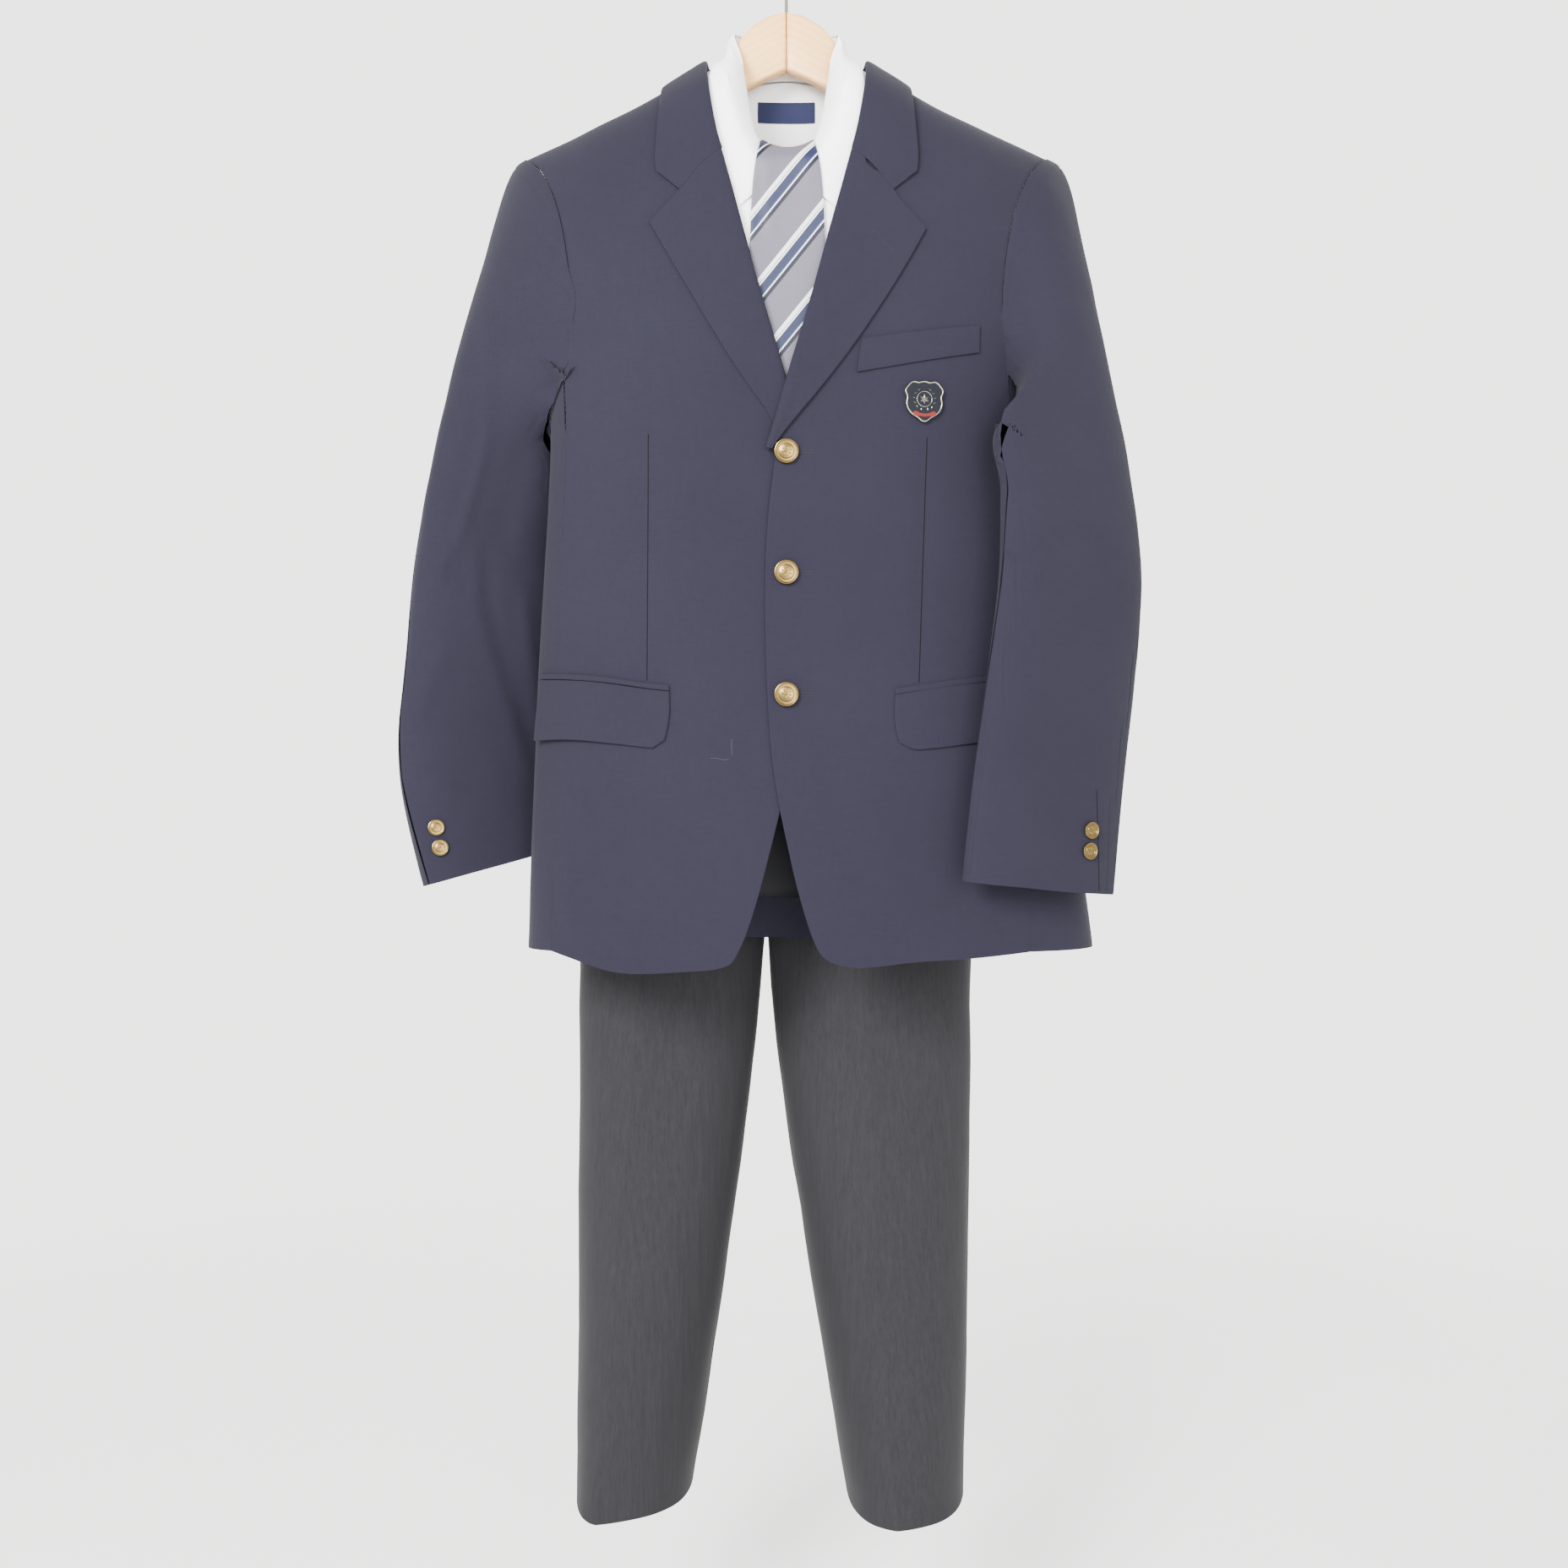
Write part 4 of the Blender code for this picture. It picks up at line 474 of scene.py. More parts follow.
def copies(source, places):
    """One mesh of a source piece at each place, a 4x4 matrix; the source goes."""
    made = []
    for place in places:
        mesh = source.data.copy()
        mesh.transform(source.matrix_world)
        mesh.transform(place)
        made.append(bpy.data.objects.new(source.name, mesh))
        bpy.context.scene.collection.objects.link(made[-1])
    bpy.data.objects.remove(source)
    return joined("copies", made)


def tube(name, points, thickness, look_name, slot, *nodes, sides=3, cyclic=False):
    """A round wire along points in metres, on a smooth curve."""
    deselect()
    bpy.ops.curve.primitive_bezier_curve_add()
    piece = bpy.context.object
    curve = piece.data
    curve.splines.clear()
    spline = curve.splines.new("BEZIER")
    spline.bezier_points.add(len(points) - 1)
    for knot, point in zip(spline.bezier_points, points):
        knot.co = point
        knot.handle_left_type = knot.handle_right_type = "AUTO"
    spline.use_cyclic_u = cyclic
    spline.resolution_u = curve.resolution_u = 6
    curve.bevel_depth, curve.bevel_resolution, curve.use_fill_caps = thickness / 2, sides, True
    alone(piece)
    bpy.ops.object.convert(target="MESH")
    return settle(bpy.context.object, name, look_name, slot, *nodes)


def outlined(points, thickness, bevel, place):
    """A flat plate with rounded edges from an outline of (x, z) in metres, its middle on y = 0 before it is placed."""
    deselect()
    bpy.ops.curve.primitive_bezier_curve_add()
    piece = bpy.context.object
    curve = piece.data
    curve.dimensions, curve.fill_mode = "2D", "BOTH"
    curve.splines.clear()
    spline = curve.splines.new("BEZIER")
    spline.bezier_points.add(len(points) - 1)
    for knot, (x, z) in zip(spline.bezier_points, points):
        knot.co = (x, z, 0)
        knot.handle_left_type = knot.handle_right_type = "AUTO"
    spline.use_cyclic_u = True
    curve.resolution_u = 8
    curve.extrude, curve.bevel_depth, curve.bevel_resolution = thickness / 2 - bevel, bevel, 3
    curve.offset = -bevel
    alone(piece)
    bpy.ops.object.convert(target="MESH")
    piece = bpy.context.object
    piece.data.transform(place @ Matrix.Rotation(math.pi / 2, 4, "X"))
    return piece


# ---------------------------------------------------------------- cloth
def along(points, line):
    """Signed distance of 2-D points from a polyline, and where along it, 0 to 1, each is nearest."""
    line = np.array(line, float)
    runs = np.linalg.norm(np.diff(line, axis=0), axis=1)
    starts = np.concatenate([[0], np.cumsum(runs)]) / runs.sum()
    best = np.full(len(points), np.inf)
    signed, where = np.zeros(len(points)), np.zeros(len(points))
    for (a, b), run, start, end in zip(zip(line, line[1:]), runs, starts, starts[1:]):
        way = (b - a) / run
        to = points - a
        u = np.clip(to @ way / run, 0, 1)
        off = to - np.outer(u * run, way)
        distance = np.linalg.norm(off, axis=1)
        nearer = distance < best
        best[nearer] = distance[nearer]
        side = np.sign(way[0] * off[:, 1] - way[1] * off[:, 0])
        signed[nearer] = (distance * side)[nearer]
        where[nearer] = (start + (end - start) * u)[nearer]
    return signed, where


def ease(x, start, end):
    u = np.clip((x - start) / (end - start), 0, 1)
    return u * u * (3 - 2 * u)


def folded(points, folds):
    """How far folds lift each point (x, z). A fold is a line, its half width, a ridge's height and a step's."""
    lift = np.zeros(len(points))
    for line, width, ridge, step in folds:
        distance, where = along(points, line)
        d = distance / width
        taper = ease(where, 0, 0.3) * ease(1 - where, 0, 0.3)
        lift += taper * (ridge * np.exp(-d * d) + step * 1.6 * d * np.exp(-d * d))
    return lift


def pulled(points, pulls):
    """How far pulls shift each point, in mm.

    A pull has the middle and half height of its stretch, the y where it starts and the y
    where it is whole, the outward x where it starts to fade and where it ends, and its
    shift in x and y.
    """
    shift = np.zeros_like(points)
    for middle, half, (start, whole), (near, far), way in pulls:
        hill = np.clip(1 - ((points[:, 2] - middle) / half) ** 2, 0, 1) ** 2
        weight = hill * ease(points[:, 1], start, whole) * (1 - ease(abs(points[:, 0]), near, far))
        shift[:, :2] += np.outer(weight, way)
    return shift


WELD = 2e-5  # points this near are one
FLAT_PAIR, SQUARE_PAIR = math.radians(38), math.radians(75)  # two triangles up to these angles make one face
RIM_ANGLE = math.radians(62)  # a sharper edge is a rim of the wall
CORNER_ANGLE = math.radians(36)  # and on the rim's own face, a corner of the outline
PRESS = 0.85  # how sharp a pressed crease stays


def sides_of(mesh_data):
    """Marks the edges of the wall as creases, and returns the faces of each of its two sides, the broadest first."""
    bm = bmesh.new()
    bm.from_mesh(mesh_data)
    bmesh.ops.remove_doubles(bm, verts=bm.verts, dist=WELD)
    bmesh.ops.join_triangles(
        bm, faces=bm.faces, angle_face_threshold=FLAT_PAIR, angle_shape_threshold=SQUARE_PAIR
    )
    crease = bm.edges.layers.float.new("crease_edge")
    for edge in bm.edges:
        if len(edge.link_faces) == 2 and edge.calc_face_angle() > RIM_ANGLE:
            edge[crease] = 1.0
    bm.faces.ensure_lookup_table()
    group, groups = [-1] * len(bm.faces), []
    for first in bm.faces:
        if group[first.index] >= 0:
            continue
        group[first.index] = len(groups)
        reach, waiting = [first], [first]
        while waiting:
            for edge in waiting.pop().edges:
                if edge[crease] == 0:
                    for face in edge.link_faces:
                        if group[face.index] < 0:
                            group[face.index] = len(groups)
                            reach.append(face)
                            waiting.append(face)
        groups.append(reach)
    groups.sort(key=lambda reach: -sum(face.calc_area() for face in reach))
    broad = {face.index for reach in groups[:2] for face in reach}
    for edge in bm.edges:  # a corner of the outline stays a corner
        through = len(edge.link_faces) == 2 and not any(face.index in broad for face in edge.link_faces)
        if through and edge.calc_face_angle() > CORNER_ANGLE:
            edge[crease] = 1.0
    return bm, groups[:2]


def smooth_cloth(node, level, toward, spread, crease_at=None):
    """The node's solid as smooth cloth. Returns the piece and which vertices lie on its outer face."""
    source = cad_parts[node]
    mesh_data = source.data.copy()
    mesh_data.transform(source.matrix_world)
    bm, faces = sides_of(mesh_data)
    if toward is not None:
        faces.sort(key=lambda reach: -sum(face.calc_area() * face.normal.dot(Vector(toward)) for face in reach))
    crease = bm.edges.layers.float["crease_edge"]
    if crease_at:
        for edge in bm.edges:
            if all(crease_at(vert.co) for vert in edge.verts):
                edge[crease] = max(edge[crease], PRESS)
    outer_layer = bm.verts.layers.float.new("outer")
    moves = {}
    for reach, value in zip(faces, (1.0, 0.0)):
        held = {face.index for face in reach}
        for vert in {vert for face in reach for vert in face.verts}:
            vert[outer_layer] = value
            inside = [
                edge.other_vert(vert).co
                for edge in vert.link_edges
                if all(face.index in held for face in edge.link_faces)
            ]
            on_rim = any(edge[crease] == 1.0 for edge in vert.link_edges)
            if on_rim and inside:
                away = vert.co - sum(inside, Vector()) / len(inside)
                moves[vert] = away.normalized() * spread
    for vert, move in moves.items():
        vert.co += move
    bm.to_mesh(mesh_data)
    bm.free()
    old = [a.name for a in mesh_data.attributes if a.name.startswith("custom_normal") or a.name == "sharp_edge"]
    for name in old:
        mesh_data.attributes.remove(mesh_data.attributes[name])
    mesh_data.materials.clear()
    piece = bpy.data.objects.new(node + "_cloth", mesh_data)
    bpy.context.scene.collection.objects.link(piece)
    modify(piece, "SUBSURF", levels=level, render_levels=level, boundary_smooth="PRESERVE_CORNERS")
    outer = np.zeros(len(piece.data.vertices), np.float32)
    piece.data.attributes["outer"].data.foreach_get("value", outer)
    piece.data.attributes.remove(piece.data.attributes["outer"])
    return piece, outer > 0.999


seam_edges = {}  # the vertices round the outer face of each cloth piece


BROAD_RIPPLE, FINE_RIPPLE = 11, 27  # waves to a metre, about


def dress(
    node, look_name, slot, toward=None, level=None, folds=(), pulls=(), ripple=1.0, spread=0.25,
    groove=0.35,
    crease_at=None, smooth=50,
):
    """A node's cloth: smoothed, its seams drawn in, and its folds and ripple raised."""
    cloth = setting("cloth")
    level = cloth.detail if level is None else level
    piece, outer = smooth_cloth(node, level, toward, spread * MM, crease_at)
    data = piece.data
    count = len(data.vertices)
    points, normals = np.zeros(count * 3, np.float32), np.zeros(count * 3, np.float32)
    data.vertices.foreach_get("co", points)
    data.vertex_normals.foreach_get("vector", normals)
    points, normals = points.reshape(-1, 3).astype(float), normals.reshape(-1, 3).astype(float)
    # the outer face's own lift, then every other vertex takes that of the nearest one on it
    index = np.flatnonzero(outer)
    lift = folded(points[index][:, [0, 2]] / MM, folds) * MM
    wave = [
        noise.noise(Vector(p) * BROAD_RIPPLE) + 0.5 * noise.noise(Vector(p) * FINE_RIPPLE) for p in points[index]
    ]
    lift += np.array(wave) * cloth.ripple * ripple
    tree = KDTree(len(index))
    for i, k in enumerate(index):
        tree.insert(points[k], i)
    tree.balance()
    nearest = np.array([tree.find(p)[1] for p in points])
    move = (normals[index] * lift[:, None] + pulled(points[index] / MM, pulls) * MM)[nearest]
    rim = np.zeros(count, bool)
    edge_sides = np.array([[outer[a], outer[b]] for a, b in (edge.vertices for edge in data.edges)])
    for edge, (a, b) in zip(data.edges, edge_sides):
        if a != b:
            rim[[v for v in edge.vertices if outer[v]]] = True
    move[rim] -= normals[rim] * groove * MM
    seam_edges[node] = np.flatnonzero(rim)
    data.vertices.foreach_set("co", (points + move).astype(np.float32).ravel())
    data.update()
    settle(piece, piece.name, look_name, slot, node, smooth=smooth)
    # This area is taken from the finished mesh and not from a pattern, so a test of the one
    # against the other says nothing about whether the cloth fits its cut.
    return piece


def tree_of(*names):
    """The surface of pieces, for laying details on them and drawing seams up to them."""
    points, faces = [], []
    for name in names:
        data = bpy.data.objects[name].data
        start = len(points)
        points += [v.co.copy() for v in data.vertices]
        faces += [[start + i for i in face.vertices] for face in data.polygons]
    return BVHTree.FromPolygons(points, faces)


CLOSED, SEWN_GAP = 0.08, 0.06  # a seam nearer than the first is closed; one drawn up ends at the second
WHOLE = 2  # cloth this near an edge moves with it


def close_seams(node, neighbours, reach, fade=9.0, above=-1000.0):
    """Draws a piece's edges up to its neighbours where they are within reach and above a height, in mm."""
    data = bpy.data.objects[node + "_cloth"].data
    tree = tree_of(*(name + "_cloth" for name in neighbours))
    ends, moves = [], []
    for i in seam_edges[node]:
        at = data.vertices[int(i)].co
        place, _, _, distance = tree.find_nearest(at, reach * MM)
        if place is not None and at.z > above * MM and distance > CLOSED * MM:
            ends.append(at.copy())
            moves.append((place - at) * (1 - SEWN_GAP * MM / distance))
    if not ends:
        return
    found = KDTree(len(ends))
    for i, end in enumerate(ends):
        found.insert(end, i)
    found.balance()
    for vert in data.vertices:
        _, i, distance = found.find(vert.co)
        if distance < fade * MM:
            vert.co += moves[i] * (1 - max(0, distance / MM - WHOLE) / (fade - WHOLE)) ** 2
    data.update()


# ---------------------------------------------------------------- blazer
UNDERARM = -446  # above this height the sleeves' edges are drawn up to the blazer's body
# Folds as lines of (x, z), half width, height of a ridge, height of a step.
RIGHT_SLEEVE_FOLDS = [
    ([(-259, -306), (-260, -385), (-264, -445), (-285, -520), (-318, -580)], 7, 1.6, 0.8),
    ([(-300, -553), (-286, -556), (-271, -569)], 7, -1.8, 0),
    ([(-268, -500), (-266, -527), (-265, -577), (-252, -630), (-235, -690), (-217, -750)], 9, -1.2, -1.6),
    ([(-266, -548), (-237, -575), (-228, -642), (-218, -726)], 8, 1.0, 1.2),
    ([(-258, -500), (-241, -524)], 7, -1.2, 0),
    ([(-326, -700), (-300, -640), (-290, -600)], 11, 1.2, 0.6),
    ([(-215, -420), (-235, -490), (-240, -560)], 11, 1.0, 0.8),
    ([(-334, -716), (-306, -740), (-280, -752)], 12, 1.4, 0),
]
# Where the front of each sleeve lies against the blazer, just under the armhole.
SLEEVE_PULLS = {
    "right": [(-424, 60, (0, -45), (212, 275), (14, -14)), (-455, 80, (-15, 15), (215, 270), (12, 0))],
    "left": [(-420, 80, (-15, -80), (212, 290), (-22, 0))],
}
LEFT_SLEEVE_FOLDS = [
    ([(160, -596), (198, -570), (228, -560)], 9, 1.6, 0.9),
    ([(196, -560), (226, -540), (262, -528)], 10, -1.0, 0.5),
    ([(196, -728), (236, -770)], 12, 1.1, 0.4),
    ([(205, -668), (256, -718)], 12, 1.0, 0.6),
    ([(250, -330), (262, -420), (276, -520)], 14, 1.0, 0.8),
    ([(200, -470), (228, -500), (262, -508)], 13, -1.0, 0),
]
FRONT_FOLDS = [
    ([(-188, -775), (-186, -830), (-178, -885)], 10, 1.8, 0.8),
    ([(-160, -790), (-150, -850), (-148, -892)], 18, -1.6, 0),
    ([(-118, -445), (-116, -550), (-116, -660)], 8, -0.9, 0),
    ([(117, -445), (114, -550), (110, -660)], 8, -0.9, 0),
    ([(-190, -395), (-172, -450), (-170, -540)], 14, -1.6, 0.8),
    ([(-30, -540), (-90, -552), (-150, -540)], 12, -0.7, 0),
    ([(20, -520), (70, -516), (150, -520)], 8, 0.5, 0.3),
    ([(-60, -700), (-90, -780), (-92, -870)], 26, 1.8, 0),
    ([(60, -700), (80, -790), (84, -870)], 26, 1.6, 0),
    ([(150, -730), (140, -800), (150, -870)], 20, -1.5, 0),
    ([(190, -400), (176, -450), (172, -540)], 14, -1.4, 0),
]


class UNIFORM_OT_blazer(bpy.types.Operator):
    """Fronts, backs, side panels and lining of the blazer"""

    bl_idname = "uniform.blazer"
    bl_label = "Blazer body"

    def execute(self, context):
        for side, sign in SIDES.items():
            for kind, toward in (("front", FRONT), ("back", BACK), ("side", (sign, 0, 0))):
                dress(
                    f"jacket_{kind}_{side}", "navy", "navy_wool", toward,
                    folds=FRONT_FOLDS if kind == "front" else (),
                )
        dress(
            "jacket_back_lining", "lining", "lining", FRONT, ripple=1.5
        )
        return {"FINISHED"}


class UNIFORM_OT_sleeves(bpy.types.Operator):
    """Top and under sleeves, with their elbow folds"""

    bl_idname = "uniform.sleeves"
    bl_label = "Sleeves"

    def execute(self, context):
        for side, sign in SIDES.items():
            folds = RIGHT_SLEEVE_FOLDS if side == "right" else LEFT_SLEEVE_FOLDS
            for kind, toward in (("sleeve_top", (0.7 * sign, -0.7, 0)), ("sleeve_under", (-0.72 * sign, 0.69, 0))):
                dress(
                    f"jacket_{kind}_{side}", "navy", "navy_wool", toward, ripple=1.8,
                    spread=0.75,
                    folds=folds if kind == "sleeve_top" else (), pulls=SLEEVE_PULLS[side], groove=0.5,
                )
        return {"FINISHED"}


class UNIFORM_OT_collar(bpy.types.Operator):
    """Collar and lapels of the blazer"""

    bl_idname = "uniform.collar"
    bl_label = "Collar and lapels"

    def execute(self, context):
        dress(
            "jacket_collar", "navy", "navy_wool", level=2, groove=0.2, ripple=0.6,
        )
        for side in SIDES:
            dress(
                f"jacket_lapel_{side}", "navy", "navy_wool", FRONT, groove=0.25, spread=0.1,
                folds=FRONT_FOLDS,
            )
        return {"FINISHED"}


class UNIFORM_OT_pockets(bpy.types.Operator):
    """Flaps and welts"""

    bl_idname = "uniform.pockets"
    bl_label = "Pockets"

    def execute(self, context):
        for side in SIDES:
            for kind in ("flap", "pocket_welt"):
                dress(
                    f"jacket_{kind}_{side}", "navy", "navy_wool", FRONT, level=2, groove=0.3,
                    spread=0.05,
                    folds=FRONT_FOLDS,
                )
        dress(
            "jacket_breast_welt", "navy", "navy_wool", FRONT, level=3, groove=0.5, spread=0.05,
            folds=FRONT_FOLDS,
        )
        return {"FINISHED"}


# ---------------------------------------------------------------- stitches
BUTTONHOLES = [(465, 10, 21.8), (565, 10, 21.8), (666, 10, 21.8)]  # height below the rail, and x of the slit's ends
LAPEL_HOLE = ((72, -281), (87, -297))


def laid(tree, x, z):
    """The point of a surface seen from the front at x, z, in mm, and its normal."""
    place, normal, _, _ = tree.ray_cast(Vector((x * MM, -1, z * MM)), Vector((0, 1, 0)))
    if place is None:
        raise RuntimeError(f"nothing to sew on at {x}, {z}")
    return place, normal


def stitch(long, thick):
    deselect()
    bpy.ops.mesh.primitive_uv_sphere_add(segments=6, ring_count=4, radius=1)
    piece = bpy.context.object
    piece.scale = (long / 2 * MM, thick / 2 * MM, thick / 2 * MM)
    bpy.ops.object.transform_apply(scale=True)
    return piece


def lying(place, way, normal):
    """A matrix that lays a piece's x along the way, with its z off the surface."""
    normal = normal.normalized()
    way = (way - normal * way.dot(normal)).normalized()
    turn = Matrix((way, normal.cross(way), normal)).transposed().to_4x4()
    return Matrix.Translation(place) @ turn


def buttonhole(name, tree, start, end, width=1.7, pitch=0.42):
    """Close stitches on both sides of a slit, and a bar at its outer end."""
    start, end = np.array(start, float), np.array(end, float)
    way = (end - start) / np.linalg.norm(end - start)
    across = np.array([-way[1], way[0]])
    places = []
    for step in np.arange(0, np.linalg.norm(end - start), pitch):
        for side in (-1, 1):
            spot = start + way * step + across * side * width * 0.5
            point, normal = laid(tree, *spot)
            places.append(lying(point + normal * 0.05 * MM, Vector((across[0], 0.0, across[1])), normal))
    for side in np.arange(-1.2, 1.3, pitch):
        point, normal = laid(tree, *(end + across * side * width * 0.8))
        places.append(lying(point + normal * 0.05 * MM, Vector((way[0], 0.0, way[1])), normal))
    hole = copies(stitch(1.35, 0.5), places)
    return settle(hole, name, "navy_thread", "navy_wool", smooth=60)


def run_of_stitches(name, tree, line, pitch, size, look_name, slot):
    """Stitches end to end along a line of (x, z) on a surface."""
    line = np.array(line, float)
    runs = np.linalg.norm(np.diff(line, axis=0), axis=1)
    total = np.concatenate([[0], np.cumsum(runs)])
    places = []
    for at in np.arange(pitch / 2, total[-1], pitch):
        spot, ahead = (np.array([np.interp(at + d, total, line[:, k]) for k in (0, 1)]) for d in (0, 0.2))
        way = ahead - spot
        point, normal = laid(tree, *spot)
        places.append(lying(point, Vector((way[0], 0.0, way[1])), normal))
    return settle(copies(stitch(*size), places), name, look_name, slot, smooth=60)


FLAP_STITCHES = {
    "right": [(-99.6, -667), (-101.6, -699), (-107.5, -706.8), (-116, -707.2), (-150, -703.4), (-172, -700.8)],
    "left": [(92.8, -670), (95.4, -704), (101.5, -709), (109, -709), (130, -706.8)],
}


class UNIFORM_OT_seams(bpy.types.Operator):
    """Draws the edges of sewn pieces together"""

    bl_idname = "uniform.seams"
    bl_label = "Seams"

    def execute(self, context):
        for side in SIDES:
            body = [f"jacket_{kind}_{side}" for kind in ("front", "side", "back")]
            close_seams(f"jacket_sleeve_under_{side}", [f"jacket_sleeve_top_{side}"], 4)
            for kind in ("sleeve_top", "sleeve_under"):
                close_seams(f"jacket_{kind}_{side}", body, 9, fade=30.0, above=UNDERARM)
            close_seams(f"jacket_lapel_{side}", ["jacket_collar"], 3)
            close_seams(f"jacket_side_{side}", [f"jacket_front_{side}", f"jacket_back_{side}"], 1.5)
        return {"FINISHED"}


class UNIFORM_OT_stitching(bpy.types.Operator):
    """Buttonholes and edge stitching"""

    bl_idname = "uniform.stitching"
    bl_label = "Stitching"

    def execute(self, context):
        left = tree_of("jacket_front_left_cloth")
        for i, (below, start, end) in enumerate(BUTTONHOLES):
            buttonhole(f"buttonhole_{i + 1}", left, (start, -below), (end, -below))
        buttonhole("lapel_buttonhole", tree_of("jacket_lapel_left_cloth"), *LAPEL_HOLE, width=1.6)
        for side, line in FLAP_STITCHES.items():
            flap = tree_of(f"jacket_flap_{side}_cloth")
            run_of_stitches(f"flap_stitches_{side}", flap, line, 2.6, (1.3, 0.34), "navy_thread", "navy_wool")
        return {"FINISHED"}


# ---------------------------------------------------------------- buttons, badge
def axis_of(node):
    """The middle of a flat, round or plate-like node's back, and the way it faces."""
    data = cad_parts[node].data
    points = np.array([tuple(v.co) for v in data.vertices])
    centre = (points.max(axis=0) + points.min(axis=0)) / 2
    off = points - points.mean(axis=0)
    out = np.linalg.eigh(off.T @ off)[1][:, 0]
    out = out if out[1] < 0 else -out
    depth = (points - centre) @ out
    return Vector(centre + out * depth.min()), Vector(out), depth.max() - depth.min()


def turn_profile(profile, steps=40):
    """A round piece from rows of radius and height, in mm, closed at both poles."""
    deselect()
    radius, height = profile[0]
    bpy.ops.mesh.primitive_circle_add(
        vertices=steps, radius=radius * MM, location=(0, 0, height * MM), fill_type="NGON"
    )
    piece = bpy.context.object
    bpy.ops.object.transform_apply(location=True)
    bpy.ops.object.mode_set(mode="EDIT")
    bpy.ops.mesh.select_all(action="SELECT")
    for (r0, h0), (r1, h1) in zip(profile, profile[1:]):
        bpy.ops.mesh.extrude_region_move(TRANSFORM_OT_translate={"value": (0, 0, (h1 - h0) * MM)})
        bpy.ops.transform.resize(value=(r1 / r0, r1 / r0, 1))
    bpy.ops.mesh.select_all(action="SELECT")
    bpy.ops.mesh.normals_make_consistent(inside=False)
    bpy.ops.object.mode_set(mode="OBJECT")
    return piece


# Rows of radius and height of a front button: shank, back, rim, and a sunk field with a domed middle.
BUTTON = [
    (3, 0.05), (3, 1.3), (9.4, 1.5), (10.1, 2.1), (10.25, 2.9), (9.9, 3.6), (9.3, 3.8), (8.7, 3.6), (8.3, 3.15),
    (6.6, 3.3),
    (6.3, 3.75), (5.9, 3.85), (5.6, 3.5), (3.0, 4.0), (0.4, 4.25),
]


def ringed(piece, count, radius, height):
    """Copies of a piece in a ring round z, the radius and height in mm."""
    spot = Matrix.Translation((radius * MM, 0, height * MM))
    return copies(piece, [Matrix.Rotation(math.tau * i / count, 4, "Z") @ spot for i in range(count)])


def button(name, node, scale, turn):
    """A cast button: a raised rim, a ring of beads and a rosette."""
    back, out, _ = axis_of(node)
    body = turn_profile(BUTTON)
    deselect()
    bpy.ops.mesh.primitive_uv_sphere_add(segments=8, ring_count=6, radius=1)
    petal = bpy.context.object
    petal.scale = (1.75 * MM, 0.62 * MM, 0.45 * MM)
    bpy.ops.object.transform_apply(scale=True)
    petals = ringed(petal, 8, 2.9, 3.95)
    deselect()
    bpy.ops.mesh.primitive_ico_sphere_add(subdivisions=1, radius=0.42 * MM)
    beads = ringed(bpy.context.object, 28, 7.45, 3.35)
    deselect()
    bpy.ops.mesh.primitive_uv_sphere_add(segments=12, ring_count=8, radius=1.1 * MM, location=(0, 0, 4.1 * MM))
    boss = bpy.context.object
    piece = joined(name, [body, petals, beads, boss])
    bpy.ops.object.transform_apply(location=True, rotation=True, scale=True)
    place = Matrix.Translation(back) @ out.to_track_quat("Z", "Y").to_matrix().to_4x4()
    piece.data.transform(place @ Matrix.Rotation(math.radians(turn), 4, "Z") @ Matrix.Scale(scale, 4))
    return settle(piece, name, "gold", "gilt", node, smooth=35)


class UNIFORM_OT_buttons(bpy.types.Operator):
    """Front and cuff buttons"""

    bl_idname = "uniform.buttons"
    bl_label = "Buttons"

    def execute(self, context):
        sizes = setting("hardware")
        whole = 2 * max(r for r, _ in BUTTON) * MM
        for i in range(1, 4):
            button(f"button_{i}", f"jacket_button_{i}", sizes.button / whole, 11 * i)
        for side in SIDES:
            for i in (1, 2):
                button(f"cuff_button_{side}_{i}", f"jacket_cuff_button_{side}_{i}", sizes.cuff_button / whole, 17 * i)
        return {"FINISHED"}


# Half of the shield's outline, from the top centre round to the point.
SHIELD = [(0, 16.5), (5, 15.5), (10, 16), (14.5, 12), (16.5, 8.5), (15, 3), (15.5, -4), (12.5, -10), (6, -14.5), (0, -18)]


